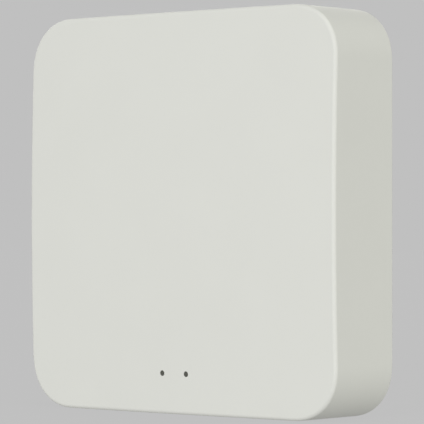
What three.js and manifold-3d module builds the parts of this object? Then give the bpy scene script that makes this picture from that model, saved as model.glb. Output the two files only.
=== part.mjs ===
// A smart home hub: a square, rounded casing that holds a radio gateway board.
//
// Units are millimetres. +Z is up and the front face looks along -Y. The hub stands on its lower edge.
// The origin is the middle of the bottom of the whole object's box.
// Casing pieces are drawn about the casing's centre, and electronics about the board's component side.

import * as THREE from 'three';
import { mergeVertices } from 'three/addons/utils/BufferGeometryUtils.js';
import Module from 'manifold-3d';

const wasm = await Module();
wasm.setup();

// ---------------------------------------------------------------- driving dimensions

const WIDTH = 90;
const HEIGHT = 90;
const CASE_DEPTH = 22; // from the crown of the front face to the back plane
const FOOT_PROUD = 0.8; // how far the rubber feet stand out of the back
const CORNER_REACH = 12.1; // how far each rounded corner runs along its two sides
const CORNER_EXPONENT = 2.2; // 2 makes a circular corner, and more a squarer one
const CROWN_RADIUS = 920; // the front face is a shallow dome
const RIM_RADIUS = 0.8; // the soft edge between front face and sides
const BACK_EDGE_RADIUS = 0.4;
const WALL = 2;
const FRONT_WALL = 1.8;
const GAP = 0.05; // between pieces that rest on each other

// Along Y, from the front of the casing to the back.
const TOTAL_DEPTH = CASE_DEPTH + FOOT_PROUD;
const FRONT_Y = -TOTAL_DEPTH / 2;
const BACK_Y = FRONT_Y + CASE_DEPTH;
const CENTRE_Z = HEIGHT / 2;

// The rear cover drops into a rebate in the mouth of the front cover.
const REBATE_WALL = 1.2;
const COVER_SIDE_GAP = 0.15;
const COVER_RECESS = 0.1;
const COVER_THICKNESS = 2;
const COVER_OUTER_Y = BACK_Y - COVER_RECESS;
const COVER_INNER_Y = COVER_OUTER_Y - COVER_THICKNESS;

// Feet, each in a recess that also hides a case screw.
const FOOT_OFFSET = 35; // of feet and case screws from the centre, both ways
const FOOT_RADIUS = 5;
const FOOT_RECESS_DEPTH = 0.9;
const FOOT_SIDE_GAP = 0.2;
const FOOT_RECESS_Y = COVER_OUTER_Y - FOOT_RECESS_DEPTH;
const PAD_RADIUS = 5.6;
const PAD_DEPTH = 3;
const HEAD_SEAT_Y = FOOT_RECESS_Y - 2;
const SCREW_RADIUS = 1.2;
const SCREW_HOLE_RADIUS = 1.45;
const PILOT_RADIUS = 1.3;
const SCREW_HEAD_RADIUS = 2.4;
const SCREW_HEAD_HEIGHT = 1.6;
const SCREW_HEAD_GAP = 0.4; // round the head in its counterbore
const CASE_SCREW_LENGTH = 10;
const BOARD_SCREW_LENGTH = 8;

// The board stands on four posts of the front cover.
const BOARD_BACK_Y = 5;
const BOARD_THICKNESS = 1.6;
const BOARD_FRONT_Y = BOARD_BACK_Y - BOARD_THICKNESS;
const BOARD_HALF_WIDTH = 39.5;
const BOARD_BOTTOM = -40;
const BOARD_TOP = 41;
const BOARD_NOTCH = 28.5; // the corners beyond this are cut away for the case screws
const POST_X = 33;
const POST_Z = 20;
const POST_RADIUS = 3;
const BOSS_RADIUS = 3.2;
const RIB_THICKNESS = 1.2;
const RIB_SETBACK = 6; // from the end of the post that the rib holds

// Indicators, below the middle of the front face.
const LED_X = 3.5;
const LED_Z = -35.9;
const LED_HOLE_RADIUS = 0.62;
const LED_HEIGHT = 1.85;

// The sockets and the button, which all come out of the top wall.
const JACK_X = -18;
const JACK_WIDTH = 16;
const JACK_HEIGHT = 11.4;
const JACK_LENGTH = 18;
const JACK_TOP = 44.6;
const JACK_WINDOW_GAP = 0.3;
const SHIELD = 0.3;
const PLUG_WIDTH = 11.8;
const PLUG_LOW = 2.9; // the plug's way in, above the board
const PLUG_HIGH = 9.7;
const PLUG_DEPTH = 14.2;
const LATCH_WIDTH = 6.2;
const LATCH_LOW = 1.3;

const USB_X = 4;
const USB_WIDTH = 7.6;
const USB_HEIGHT = 2.6;
const USB_LENGTH = 6;
const USB_TOP = 44;
const USB_SHELL = 0.25;
const USB_WINDOW_GAP = 0.25;
const USB_RECESS_WIDTH = 11.2; // the plug's moulded grip sinks into this recess
const USB_RECESS_HEIGHT = 7.4;
const USB_RECESS_DEPTH = 0.9;
const USB_RECESS_CORNER = 1.6;
const USB_MOUTH_CLIP = 0.9; // of the two outer corners of the socket's mouth

const BUTTON_X = 22;
const BUTTON_ABOVE_BOARD = 3.7;
const BUTTON_RADIUS = 2.45;
const BUTTON_HOLE_RADIUS = 2.7;
const BUTTON_STEM_RADIUS = 1.4;
const BUTTON_DISH_RADIUS = 9;
const BUTTON_DISH_DEPTH = 0.25;
const BUTTON_TOP = 44.7;
const FLANGE_RADIUS = 3.8;
const FLANGE_TOP = 42.7;
const FLANGE_THICKNESS = 0.8;
const PLUNGER_TOP = 37.8;
const PLUNGER_RADIUS = 1.65;
const PLUNGER_BORE = PLUNGER_RADIUS + 0.2;
const SWITCH_TOP = 34.5;

// Keyholes for two wall screws.
const KEYHOLE_X = 20;
const KEYHOLE_ENTRY_Z = 8;
const KEYHOLE_TRAVEL = 10;
const KEYHOLE_ENTRY_RADIUS = 4;
const KEYHOLE_SLOT_RADIUS = 2.1;
const KEYHOLE_LIP = 1.2;
const KEYHOLE_POCKET_RADIUS = 4.2;
const KEYHOLE_POCKET_Y = 6.2;
const KEYHOLE_WALL = 1;
const KEYHOLE_FLOOR = 0.8;

// The sticker and its shallow recess.
const LABEL_WIDTH = 44;
const LABEL_HEIGHT = 20;
const LABEL_Z = -14;
const LABEL_RECESS = 0.2;
const LABEL_SIDE_GAP = 0.3;

// Cooling slots, in a row above and a row below.
const VENT_COUNT = 9;
const VENT_PITCH = 4.4;
const VENT_RADIUS = 0.8;
const VENT_LENGTH = 10;
const VENT_Z = 33;

// ---------------------------------------------------------------- finishes

function finish(color, roughness, metalness = 0) {
  return new THREE.MeshStandardMaterial({ color, roughness, metalness });
}

const FINISH = {
  casing: finish(0xdcddd6, 0.45),
  rubber: finish(0x5b5c5a, 0.9),
  steel: finish(0xa9abad, 0.35, 1),
  board: finish(0x1f5a3a, 0.5),
  chip: finish(0x1b1c1e, 0.55),
  blackPlastic: finish(0x202124, 0.6),
  gold: finish(0xd2a64a, 0.3, 1),
  tin: finish(0xc3c5c8, 0.3, 1),
  ferrite: finish(0x33343a, 0.7),
  aluminium: finish(0xc9ccd0, 0.35, 1),
  lens: finish(0x4e504c, 0.2),
  led: finish(0xeceadb, 0.4),
  label: finish(0xc7c8c6, 0.5),
};

// ---------------------------------------------------------------- solids

// A geometry as a manifold-3d solid.
function solidOf(geometry) {
  const bare = (geometry.index ? geometry.toNonIndexed() : geometry.clone());
  bare.deleteAttribute('normal');
  bare.deleteAttribute('uv');
  const merged = mergeVertices(bare, 1e-4);
  return new wasm.Manifold(new wasm.Mesh({
    numProp: 3,
    vertProperties: merged.attributes.position.array,
    triVerts: new Uint32Array(merged.index.array),
  }));
}

// A manifold-3d solid as a geometry with flat faces.
function geometryOf(solid) {
  const { vertProperties, triVerts } = solid.getMesh();
  const indexed = new THREE.BufferGeometry();
  indexed.setAttribute('position', new THREE.BufferAttribute(vertProperties, 3));
  indexed.setIndex(new THREE.BufferAttribute(triVerts, 1));
  const flat = indexed.toNonIndexed();
  flat.computeVertexNormals();
  return flat;
}

function join(first, ...others) {
  return geometryOf(others.reduce((sum, g) => sum.add(solidOf(g)), solidOf(first)));
}

function cut(body, ...tools) {
  return geometryOf(tools.reduce((rest, g) => rest.subtract(solidOf(g)), solidOf(body)));
}

function box(lowX, highX, lowY, highY, lowZ, highZ) {
  return new THREE.BoxGeometry(highX - lowX, highY - lowY, highZ - lowZ)
    .translate((lowX + highX) / 2, (lowY + highY) / 2, (lowZ + highZ) / 2);
}

function cylinderAlongY(radius, lowY, highY, x, z, sides = 24) {
  return new THREE.CylinderGeometry(radius, radius, highY - lowY, sides)
    .translate(x, (lowY + highY) / 2, z);
}

function cylinderAlongZ(radius, lowZ, highZ, x, y, sides = 24) {
  return new THREE.CylinderGeometry(radius, radius, highZ - lowZ, sides)
    .rotateX(Math.PI / 2)
    .translate(x, y, (lowZ + highZ) / 2);
}

// A shape drawn in X and Z, pushed from lowY to highY.
function extrudeAlongY(shape, lowY, highY, curveSegments = 6) {
  return new THREE.ExtrudeGeometry(shape, { depth: highY - lowY, bevelEnabled: false, curveSegments })
    .rotateX(Math.PI / 2)
    .translate(0, highY, 0);
}

// A shape drawn in X and Y, pushed from lowZ to highZ.
function extrudeAlongZ(shape, lowZ, highZ, curveSegments = 4) {
  return new THREE.ExtrudeGeometry(shape, { depth: highZ - lowZ, bevelEnabled: false, curveSegments })
    .translate(0, 0, lowZ);
}

function roundedRectangle(centreX, centreY, width, height, radius) {
  const [x, y] = [centreX - width / 2, centreY - height / 2];
  const shape = new THREE.Shape();
  shape.moveTo(x + radius, y);
  shape.lineTo(x + width - radius, y);
  shape.absarc(x + width - radius, y + radius, radius, -Math.PI / 2, 0);
  shape.lineTo(x + width, y + height - radius);
  shape.absarc(x + width - radius, y + height - radius, radius, 0, Math.PI / 2);
  shape.lineTo(x + radius, y + height);
  shape.absarc(x + radius, y + height - radius, radius, Math.PI / 2, Math.PI);
  shape.lineTo(x, y + radius);
  shape.absarc(x + radius, y + radius, radius, Math.PI, 1.5 * Math.PI);
  return shape;
}

// An upright slot with round ends, from one end's centre to the other's.
function stadium(x, lowZ, highZ, radius) {
  const shape = new THREE.Shape();
  shape.moveTo(x + radius, lowZ);
  shape.lineTo(x + radius, highZ);
  shape.absarc(x, highZ, radius, 0, Math.PI);
  shape.lineTo(x - radius, lowZ);
  shape.absarc(x, lowZ, radius, Math.PI, 2 * Math.PI);
  return shape;
}

// ---------------------------------------------------------------- the casing's outline

const CORNER_STEPS = 8;
const SIDE_STEPS = 4;

// The casing's outline moved in by a distance, as points in X and Z, anticlockwise.
function outline(inset) {
  const reach = CORNER_REACH - inset;
  const [flatX, flatZ] = [WIDTH / 2 - CORNER_REACH, HEIGHT / 2 - CORNER_REACH];
  const points = [];
  for (let quarter = 0; quarter < 4; quarter++) {
    const turn = quarter * Math.PI / 2;
    const centre = new THREE.Vector2(quarter % 3 ? -flatX : flatX, quarter < 2 ? flatZ : -flatZ);
    for (let step = 0; step <= CORNER_STEPS; step++) {
      const angle = step / CORNER_STEPS * Math.PI / 2;
      const corner = new THREE.Vector2(
        Math.cos(angle) ** (2 / CORNER_EXPONENT),
        Math.sin(angle) ** (2 / CORNER_EXPONENT),
      );
      points.push(corner.multiplyScalar(reach).rotateAround(new THREE.Vector2(), turn).add(centre));
    }
  }
  return withSidePoints(points);
}

// Adds points along the four straight sides, so that the crown can bend them.
function withSidePoints(corners) {
  const perCorner = CORNER_STEPS + 1;
  return corners.flatMap((point, i) => {
    if ((i + 1) % perCorner) return [point];
    const next = corners[(i + 1) % corners.length];
    const between = Array.from({ length: SIDE_STEPS - 1 }, (_, k) => (
      point.clone().lerp(next, (k + 1) / SIDE_STEPS)
    ));
    return [point, ...between];
  });
}

// How far the domed front has fallen back at a point of the face.
function crownDrop(x, z) {
  return (x * x + z * z) / (2 * CROWN_RADIUS);
}

// A ring of the outline, moved in and then scaled towards the centre.
// It lies at a depth behind the crown, or at a fixed Y.
function ring({ inset = 0, scale = 1, behindCrown = null, y = null }) {
  return outline(inset).map((p) => {
    const [x, z] = [p.x * scale, p.y * scale];
    return new THREE.Vector3(x, y ?? FRONT_Y + crownDrop(x, z) + behindCrown, z);
  });
}

// A closed solid through rings that run from front to back, with a fan at each end.
function loft(rings, frontY, backY) {
  const count = rings[0].length;
  const positions = [new THREE.Vector3(0, frontY, 0), ...rings.flat(), new THREE.Vector3(0, backY, 0)];
  const last = positions.length - 1;
  const at = (r, k) => 1 + r * count + (k % count);
  const index = [];
  for (let k = 0; k < count; k++) {
    index.push(0, at(0, k), at(0, k + 1));
    for (let r = 0; r + 1 < rings.length; r++) {
      index.push(at(r, k), at(r + 1, k), at(r + 1, k + 1));
      index.push(at(r, k), at(r + 1, k + 1), at(r, k + 1));
    }
    index.push(at(rings.length - 1, k), last, at(rings.length - 1, k + 1));
  }
  return new THREE.BufferGeometry().setFromPoints(positions).setIndex(index);
}

function outlineShape(inset) {
  return new THREE.Shape(outline(inset));
}

// The four places about the centre at the same offsets.
function fourCorners(x, z) {
  return [[-x, -z], [x, -z], [-x, z], [x, z]];
}

// ---------------------------------------------------------------- front cover

const CROWN_SCALES = [0.3, 0.6, 0.85, 1];

function casingBlock() {
  const rim = [22.5, 45, 67.5, 90].map((degrees) => {
    const angle = THREE.MathUtils.degToRad(degrees);
    const behindCrown = RIM_RADIUS * (1 - Math.cos(angle));
    return ring({ inset: RIM_RADIUS * (1 - Math.sin(angle)), behindCrown });
  });
  const crown = CROWN_SCALES.map((scale) => ring({ inset: RIM_RADIUS, scale, behindCrown: 0 }));
  const back = [0, 45, 90].map((degrees) => {
    const angle = THREE.MathUtils.degToRad(degrees);
    const inset = BACK_EDGE_RADIUS * (1 - Math.cos(angle));
    return ring({ inset, y: BACK_Y - BACK_EDGE_RADIUS * (1 - Math.sin(angle)) });
  });
  return loft([...crown, ...rim, ...back], FRONT_Y, BACK_Y);
}

function casingCavity() {
  const inner = RIM_RADIUS;
  const crown = CROWN_SCALES.map((scale) => ring({ inset: WALL + inner, scale, behindCrown: FRONT_WALL }));
  const side = [
    ring({ inset: WALL, behindCrown: FRONT_WALL + inner }),
    ring({ inset: WALL, y: BACK_Y + 1 }),
  ];
  return loft([...crown, ...side], FRONT_Y + FRONT_WALL, BACK_Y + 1);
}

// A round post that grows out of the front wall, with thin ribs.
function post(x, z, radius, endY, ribs) {
  const startY = FRONT_Y + crownDrop(x, z) + FRONT_WALL / 2;
  const ribEndY = endY - RIB_SETBACK;
  const half = RIB_THICKNESS / 2;
  const round = cylinderAlongY(radius, startY, endY, x, z, 20);
  return join(round, ...ribs.map(([toX, toZ]) => box(
    Math.min(x, toX) - half, Math.max(x, toX) + half, startY, ribEndY,
    Math.min(z, toZ) - half, Math.max(z, toZ) + half,
  )));
}

function posts() {
  const wallX = WIDTH / 2 - WALL / 2;
  const boardPosts = fourCorners(POST_X, POST_Z).map(([x, z]) => (
    post(x, z, POST_RADIUS, BOARD_FRONT_Y - GAP, [[Math.sign(x) * wallX, z]])
  ));
  const caseBosses = fourCorners(FOOT_OFFSET, FOOT_OFFSET).map(([x, z]) => (
    post(x, z, BOSS_RADIUS, COVER_INNER_Y - PAD_DEPTH - GAP, [
      [Math.sign(x) * wallX, z],
      [x, Math.sign(z) * wallX],
    ])
  ));
  return [...boardPosts, ...caseBosses];
}

function pilotHoles() {
  const deep = BOARD_FRONT_Y - BOARD_SCREW_LENGTH;
  return [...fourCorners(POST_X, POST_Z), ...fourCorners(FOOT_OFFSET, FOOT_OFFSET)]
    .map(([x, z]) => cylinderAlongY(PILOT_RADIUS, deep, BACK_Y, x, z, 12));
}

function topWindows() {
  const [low, high] = [HEIGHT / 2 - WALL - 1, HEIGHT / 2 + 1];
  const jackWidth = JACK_WIDTH + 2 * JACK_WINDOW_GAP;
  const jackHeight = JACK_HEIGHT + 2 * JACK_WINDOW_GAP;
  const jackY = BOARD_FRONT_Y - JACK_HEIGHT / 2;
  const usbWidth = USB_WIDTH + 2 * USB_WINDOW_GAP;
  const usbHeight = USB_HEIGHT + 2 * USB_WINDOW_GAP;
  const usbY = BOARD_FRONT_Y - USB_HEIGHT / 2;
  const usbRecess = roundedRectangle(USB_X, usbY, USB_RECESS_WIDTH, USB_RECESS_HEIGHT, USB_RECESS_CORNER);
  return [
    extrudeAlongZ(roundedRectangle(JACK_X, jackY, jackWidth, jackHeight, 0.8), low, high),
    extrudeAlongZ(roundedRectangle(USB_X, usbY, usbWidth, usbHeight, 0.6), low, high),
    extrudeAlongZ(usbRecess, HEIGHT / 2 - USB_RECESS_DEPTH, high),
    cylinderAlongZ(BUTTON_HOLE_RADIUS, low, high, BUTTON_X, BOARD_FRONT_Y - BUTTON_ABOVE_BOARD, 24),
  ];
}

function frontCover() {
  const rebate = extrudeAlongY(outlineShape(REBATE_WALL), COVER_INNER_Y - GAP, BACK_Y + 1);
  const indicatorHoles = [-LED_X, LED_X].map((x) => (
    cylinderAlongY(LED_HOLE_RADIUS, FRONT_Y - 1, FRONT_Y + FRONT_WALL + 2, x, LED_Z, 20)
  ));
  const shell = cut(casingBlock(), casingCavity(), rebate);
  return cut(join(shell, ...posts()), ...pilotHoles(), ...indicatorHoles, ...topWindows());
}

// ---------------------------------------------------------------- rear cover, feet, label and screws

function keyholeShape(x) {
  const entryAngle = Math.asin(KEYHOLE_SLOT_RADIUS / KEYHOLE_ENTRY_RADIUS);
  const slotTop = KEYHOLE_ENTRY_Z + KEYHOLE_TRAVEL;
  const hole = new THREE.Path();
  hole.absarc(x, KEYHOLE_ENTRY_Z, KEYHOLE_ENTRY_RADIUS, Math.PI / 2 + entryAngle, 2.5 * Math.PI - entryAngle);
  hole.absarc(x, slotTop, KEYHOLE_SLOT_RADIUS, 0, Math.PI);
  return hole;
}

function ventShapes() {
  const straight = VENT_LENGTH / 2 - VENT_RADIUS;
  const columns = Array.from({ length: VENT_COUNT }, (_, i) => (i - (VENT_COUNT - 1) / 2) * VENT_PITCH);
  return [-VENT_Z, VENT_Z].flatMap((z) => (
    columns.map((x) => stadium(x, z - straight, z + straight, VENT_RADIUS))
  ));
}

// The walled pocket behind a keyhole, which keeps the screw's head off the board.
function keyholePocket(x, grow, frontY, backY) {
  const shape = stadium(x, KEYHOLE_ENTRY_Z, KEYHOLE_ENTRY_Z + KEYHOLE_TRAVEL, KEYHOLE_POCKET_RADIUS + grow);
  return extrudeAlongY(shape, frontY, backY, 8);
}

function rearCover() {
  const plateShape = outlineShape(REBATE_WALL + COVER_SIDE_GAP);
  plateShape.holes.push(...ventShapes());
  const corners = fourCorners(FOOT_OFFSET, FOOT_OFFSET);
  const padY = COVER_INNER_Y - PAD_DEPTH;
  const keyholes = [-KEYHOLE_X, KEYHOLE_X];
  const counterboreRadius = SCREW_HEAD_RADIUS + SCREW_HEAD_GAP;
  const body = join(
    extrudeAlongY(plateShape, COVER_INNER_Y, COVER_OUTER_Y, 3),
    ...corners.map(([x, z]) => cylinderAlongY(PAD_RADIUS, padY, COVER_INNER_Y + 1, x, z, 24)),
    ...keyholes.map((x) => keyholePocket(
      x, KEYHOLE_WALL, KEYHOLE_POCKET_Y - KEYHOLE_FLOOR, COVER_INNER_Y + KEYHOLE_LIP / 2,
    )),
  );
  const labelRecess = roundedRectangle(0, LABEL_Z, LABEL_WIDTH, LABEL_HEIGHT, 1);
  return cut(
    body,
    ...keyholes.map((x) => keyholePocket(x, 0, KEYHOLE_POCKET_Y, COVER_OUTER_Y - KEYHOLE_LIP)),
    ...keyholes.map((x) => (
      extrudeAlongY(new THREE.Shape(keyholeShape(x).getPoints(8)), COVER_INNER_Y - 1, COVER_OUTER_Y + 1)
    )),
    ...corners.map(([x, z]) => cylinderAlongY(FOOT_RADIUS + FOOT_SIDE_GAP, FOOT_RECESS_Y, BACK_Y, x, z, 24)),
    ...corners.map(([x, z]) => cylinderAlongY(counterboreRadius, HEAD_SEAT_Y, BACK_Y, x, z, 16)),
    ...corners.map(([x, z]) => cylinderAlongY(SCREW_HOLE_RADIUS, padY - 1, BACK_Y, x, z, 12)),
    extrudeAlongY(labelRecess, COVER_OUTER_Y - LABEL_RECESS, BACK_Y),
  );
}

// A rubber foot: a disc with a softened outer edge.
function foot() {
  const [base, top] = [FOOT_RECESS_Y + GAP, BACK_Y + FOOT_PROUD];
  const profile = [
    [0, base], [FOOT_RADIUS, base], [FOOT_RADIUS, top - 0.5], [FOOT_RADIUS - 0.2, top - 0.15],
    [FOOT_RADIUS - 0.6, top], [0, top],
  ];
  return new THREE.LatheGeometry(profile.map(([r, y]) => new THREE.Vector2(r, y)), 24);
}

function ratingLabel() {
  const width = LABEL_WIDTH - 2 * LABEL_SIDE_GAP;
  const height = LABEL_HEIGHT - 2 * LABEL_SIDE_GAP;
  const shape = roundedRectangle(0, LABEL_Z, width, height, 0.8);
  return extrudeAlongY(shape, COVER_OUTER_Y - LABEL_RECESS, COVER_OUTER_Y - GAP);
}

// A self-tapping pan-head screw whose head rests on seatY and faces the back, with a cross recess.
function screw(seatY, length) {
  const [seat, tip] = [seatY + GAP, seatY + GAP - length];
  const top = seat + SCREW_HEAD_HEIGHT;
  const profile = [
    [0, tip], [SCREW_RADIUS, tip + 1.6], [SCREW_RADIUS, seat], [SCREW_HEAD_RADIUS, seat],
    [SCREW_HEAD_RADIUS, top - 0.6], [SCREW_HEAD_RADIUS - 0.5, top], [0, top],
  ];
  const turned = new THREE.LatheGeometry(profile.map(([r, y]) => new THREE.Vector2(r, y)), 16);
  const [long, thin, deep] = [1.3, 0.25, 0.9];
  return cut(
    turned,
    box(-long, long, top - deep, top + 1, -thin, thin),
    box(-thin, thin, top - deep, top + 1, -long, long),
  );
}

// ---------------------------------------------------------------- board and its parts
// In this group Y is 0 at the component side, and parts stand out towards -Y.

function mainBoard() {
  const [side, notch] = [BOARD_HALF_WIDTH, BOARD_NOTCH];
  const shape = new THREE.Shape();
  shape.moveTo(-notch, BOARD_BOTTOM);
  shape.lineTo(notch, BOARD_BOTTOM);
  shape.lineTo(notch, -notch);
  shape.lineTo(side, -notch);
  shape.lineTo(side, notch);
  shape.lineTo(notch, notch);
  shape.lineTo(notch, BOARD_TOP);
  shape.lineTo(-notch, BOARD_TOP);
  shape.lineTo(-notch, notch);
  shape.lineTo(-side, notch);
  shape.lineTo(-side, -notch);
  shape.lineTo(-notch, -notch);
  const round = (x, z, radius) => new THREE.Path().absarc(x, z, radius, 0, 2 * Math.PI);
  shape.holes.push(
    ...fourCorners(POST_X, POST_Z).map(([x, z]) => round(x, z, SCREW_HOLE_RADIUS)),
    ...jackPegs().map(([x, z]) => round(x, z, PEG_RADIUS + 0.15)),
  );
  return extrudeAlongY(shape, 0, BOARD_THICKNESS, 6);
}

const CHIP_STANDOFF = 0.1; // under a moulded package
const LEAD_THICKNESS = 0.3;

// A flat row of leads, tabs or pads on the board.
function leads(lowX, highX, lowZ, highZ) {
  return box(lowX, highX, -GAP - LEAD_THICKNESS, -GAP, lowZ, highZ);
}

// A chip: a moulded block with a thin skirt where its leads spread.
function chip(width, height, thickness, leadX, leadZ) {
  const [x, z] = [width / 2, height / 2];
  const body = box(-x, x, -thickness, -CHIP_STANDOFF, -z, z);
  return join(body, leads(-x - leadX, x + leadX, -z - leadZ, z + leadZ));
}

function networkTransformer() {
  const [count, pitch, halfLead, reach] = [8, 1.1, 0.25, 7.4];
  const rows = Array.from({ length: count }, (_, i) => {
    const z = (i - (count - 1) / 2) * pitch;
    return leads(-reach, reach, z - halfLead, z + halfLead);
  });
  return join(box(-6.35, 6.35, -5.6, -0.2, -4.8, 4.8), ...rows);
}

function crystal() {
  return join(
    extrudeAlongY(roundedRectangle(0, 0, 10.2, 3.8, 1.8), -3.5, -0.5, 4),
    extrudeAlongY(roundedRectangle(0, 0, 11.2, 4.7, 2.2), -0.8, -GAP, 4),
  );
}

// A power inductor: a ferrite block with clipped corners and a shallow round top.
function inductor() {
  const shape = new THREE.Shape([
    [-3, -1.8], [-1.8, -3], [1.8, -3], [3, -1.8], [3, 1.8], [1.8, 3], [-1.8, 3], [-3, 1.8],
  ].map(([x, z]) => new THREE.Vector2(x, z)));
  return join(extrudeAlongY(shape, -2.7, -GAP), cylinderAlongY(2.3, -3, -2, 0, 0, 20));
}

function regulator() {
  const legs = [-2.3, 0, 2.3].map((x) => leads(x - 0.35, x + 0.35, -3.5, -1));
  const tab = leads(-1.5, 1.5, 1, 3.5);
  return join(box(-3.25, 3.25, -1.7, -CHIP_STANDOFF, -1.75, 1.75), tab, ...legs);
}

function bulkCapacitor() {
  const [radius, height, base] = [3.15, 7.7, 3.3];
  const can = [
    [0, -GAP - 0.8], [radius, -GAP - 0.8], [radius, -1.8], [radius - 0.25, -2.1], [radius, -2.4],
    [radius, -height + 0.4], [radius - 0.4, -height], [0, -height],
  ];
  const turned = new THREE.LatheGeometry(can.reverse().map(([r, y]) => new THREE.Vector2(r, y)), 20);
  return join(turned, box(-base, base, -1.1, -GAP, -base, base));
}

function indicatorLed() {
  const body = box(-1.7, 1.7, -LED_HEIGHT + 0.2, -GAP, -1.35, 1.35);
  const lens = cylinderAlongY(1.1, -LED_HEIGHT, -1, 0, 0, 16);
  return join(body, lens);
}

const RADIO_HALF_HEIGHT = 8;
const RADIO_LENGTH = 20;
const RADIO_BOARD = 0.8;

function radioBoard() {
  const half = RADIO_LENGTH / 2;
  const castellations = [];
  for (let i = 0; i < 7; i++) {
    const x = -half + 7 + i * 1.9;
    castellations.push(cylinderAlongY(0.4, -RADIO_BOARD - 1, 1, x, RADIO_HALF_HEIGHT, 8));
    castellations.push(cylinderAlongY(0.4, -RADIO_BOARD - 1, 1, x, -RADIO_HALF_HEIGHT, 8));
  }
  const board = box(-half, half, -RADIO_BOARD, -GAP, -RADIO_HALF_HEIGHT, RADIO_HALF_HEIGHT);
  return cut(board, ...castellations);
}

function radioShield() {
  const shape = roundedRectangle(2.9, 0, 13.2, 13, 0.6);
  return extrudeAlongY(shape, -RADIO_BOARD - 2, -RADIO_BOARD - GAP, 3);
}

// ---------------------------------------------------------------- network jack

const PEG_RADIUS = 1.5;
const PEG_SPACING = 11.4;
const PEG_Z = JACK_TOP - 9;

function jackPegs() {
  return [[JACK_X - PEG_SPACING / 2, PEG_Z], [JACK_X + PEG_SPACING / 2, PEG_Z]];
}

// The way in for the plug and its latch, from below the mouth to above it.
function plugWay(lowZ, highZ) {
  return join(
    box(JACK_X - PLUG_WIDTH / 2, JACK_X + PLUG_WIDTH / 2, -PLUG_HIGH, -PLUG_LOW, lowZ, highZ),
    box(JACK_X - LATCH_WIDTH / 2, JACK_X + LATCH_WIDTH / 2, -PLUG_LOW - 1, -LATCH_LOW, lowZ, highZ),
  );
}

function ethernetShield() {
  const half = JACK_WIDTH / 2;
  const inner = half - SHIELD;
  const bottom = JACK_TOP - JACK_LENGTH;
  return cut(
    box(JACK_X - half, JACK_X + half, -JACK_HEIGHT, -GAP, bottom, JACK_TOP),
    box(JACK_X - inner, JACK_X + inner, -JACK_HEIGHT + SHIELD, 1, bottom + SHIELD, JACK_TOP - SHIELD),
    plugWay(JACK_TOP - 1, JACK_TOP + 1),
  );
}

function ethernetInsert() {
  const half = JACK_WIDTH / 2 - SHIELD - GAP;
  const bottom = JACK_TOP - JACK_LENGTH + SHIELD + GAP;
  const top = JACK_TOP - SHIELD - GAP;
  const pegs = jackPegs().map(([x, z]) => cylinderAlongY(PEG_RADIUS, -1, BOARD_THICKNESS + 0.6, x, z, 16));
  const block = join(
    box(JACK_X - half, JACK_X + half, -JACK_HEIGHT + SHIELD + GAP, -GAP, bottom, top),
    ...pegs,
  );
  return cut(block, plugWay(JACK_TOP - PLUG_DEPTH, JACK_TOP + 1));
}

// Eight spring wires on one carrier at the bottom of the jack.
function ethernetContacts() {
  const floor = JACK_TOP - PLUG_DEPTH;
  const carrier = box(
    JACK_X - PLUG_WIDTH / 2 + 0.2, JACK_X + PLUG_WIDTH / 2 - 0.2,
    -PLUG_HIGH + 0.2, -PLUG_LOW - 0.2, floor + GAP, floor + 1.4,
  );
  const [wire, length, lean, pitch] = [0.36, 9.5, 0.13, 1.02];
  const wires = Array.from({ length: 8 }, (_, i) => (
    new THREE.BoxGeometry(wire, wire, length)
      .translate(0, 0, length / 2)
      .rotateX(lean)
      .translate(JACK_X + (i - 3.5) * pitch, -PLUG_HIGH + 1.6, floor + 1)
  ));
  return join(carrier, ...wires);
}

// ---------------------------------------------------------------- power socket

// The mouth of a micro power socket: wide next to the board, with its outer corners clipped.
function socketOutline(inset) {
  const half = USB_WIDTH / 2 - inset;
  const [low, high] = [-USB_HEIGHT + inset, -GAP - inset];
  const clip = USB_MOUTH_CLIP;
  return new THREE.Shape([
    [USB_X - half + clip, low], [USB_X + half - clip, low], [USB_X + half, low + clip],
    [USB_X + half, high], [USB_X - half, high], [USB_X - half, low + clip],
  ].map(([x, y]) => new THREE.Vector2(x, y)));
}

function usbSocketShell() {
  return cut(
    extrudeAlongZ(socketOutline(0), USB_TOP - USB_LENGTH, USB_TOP),
    extrudeAlongZ(socketOutline(USB_SHELL), USB_TOP - USB_LENGTH - 1, USB_TOP + 1),
  );
}

function usbSocketTongue() {
  const bottom = USB_TOP - USB_LENGTH;
  const middle = -USB_HEIGHT / 2;
  return join(
    extrudeAlongZ(socketOutline(USB_SHELL + GAP), bottom, bottom + 1.2),
    box(USB_X - 1.9, USB_X + 1.9, middle - 0.3, middle + 0.3, bottom + 1, USB_TOP - 0.8),
  );
}

// ---------------------------------------------------------------- reset button and its switch

function resetButton() {
  const y = -BUTTON_ABOVE_BOARD;
  const flangeBottom = FLANGE_TOP - FLANGE_THICKNESS;
  const cap = cylinderAlongZ(BUTTON_RADIUS, flangeBottom, BUTTON_TOP, BUTTON_X, y, 24);
  const flange = cylinderAlongZ(FLANGE_RADIUS, flangeBottom, FLANGE_TOP, BUTTON_X, y, 24);
  const stem = cylinderAlongZ(BUTTON_STEM_RADIUS, PLUNGER_TOP + 0.1, flangeBottom + 0.4, BUTTON_X, y, 16);
  const dish = new THREE.SphereGeometry(BUTTON_DISH_RADIUS, 32, 24)
    .translate(BUTTON_X, y, BUTTON_TOP + BUTTON_DISH_RADIUS - BUTTON_DISH_DEPTH);
  return cut(join(cap, flange, stem), dish);
}

const SWITCH_BOTTOM = SWITCH_TOP - 4;
const SWITCH_HALF = 3;
const PLUNGER_BOTTOM = 33;

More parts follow.
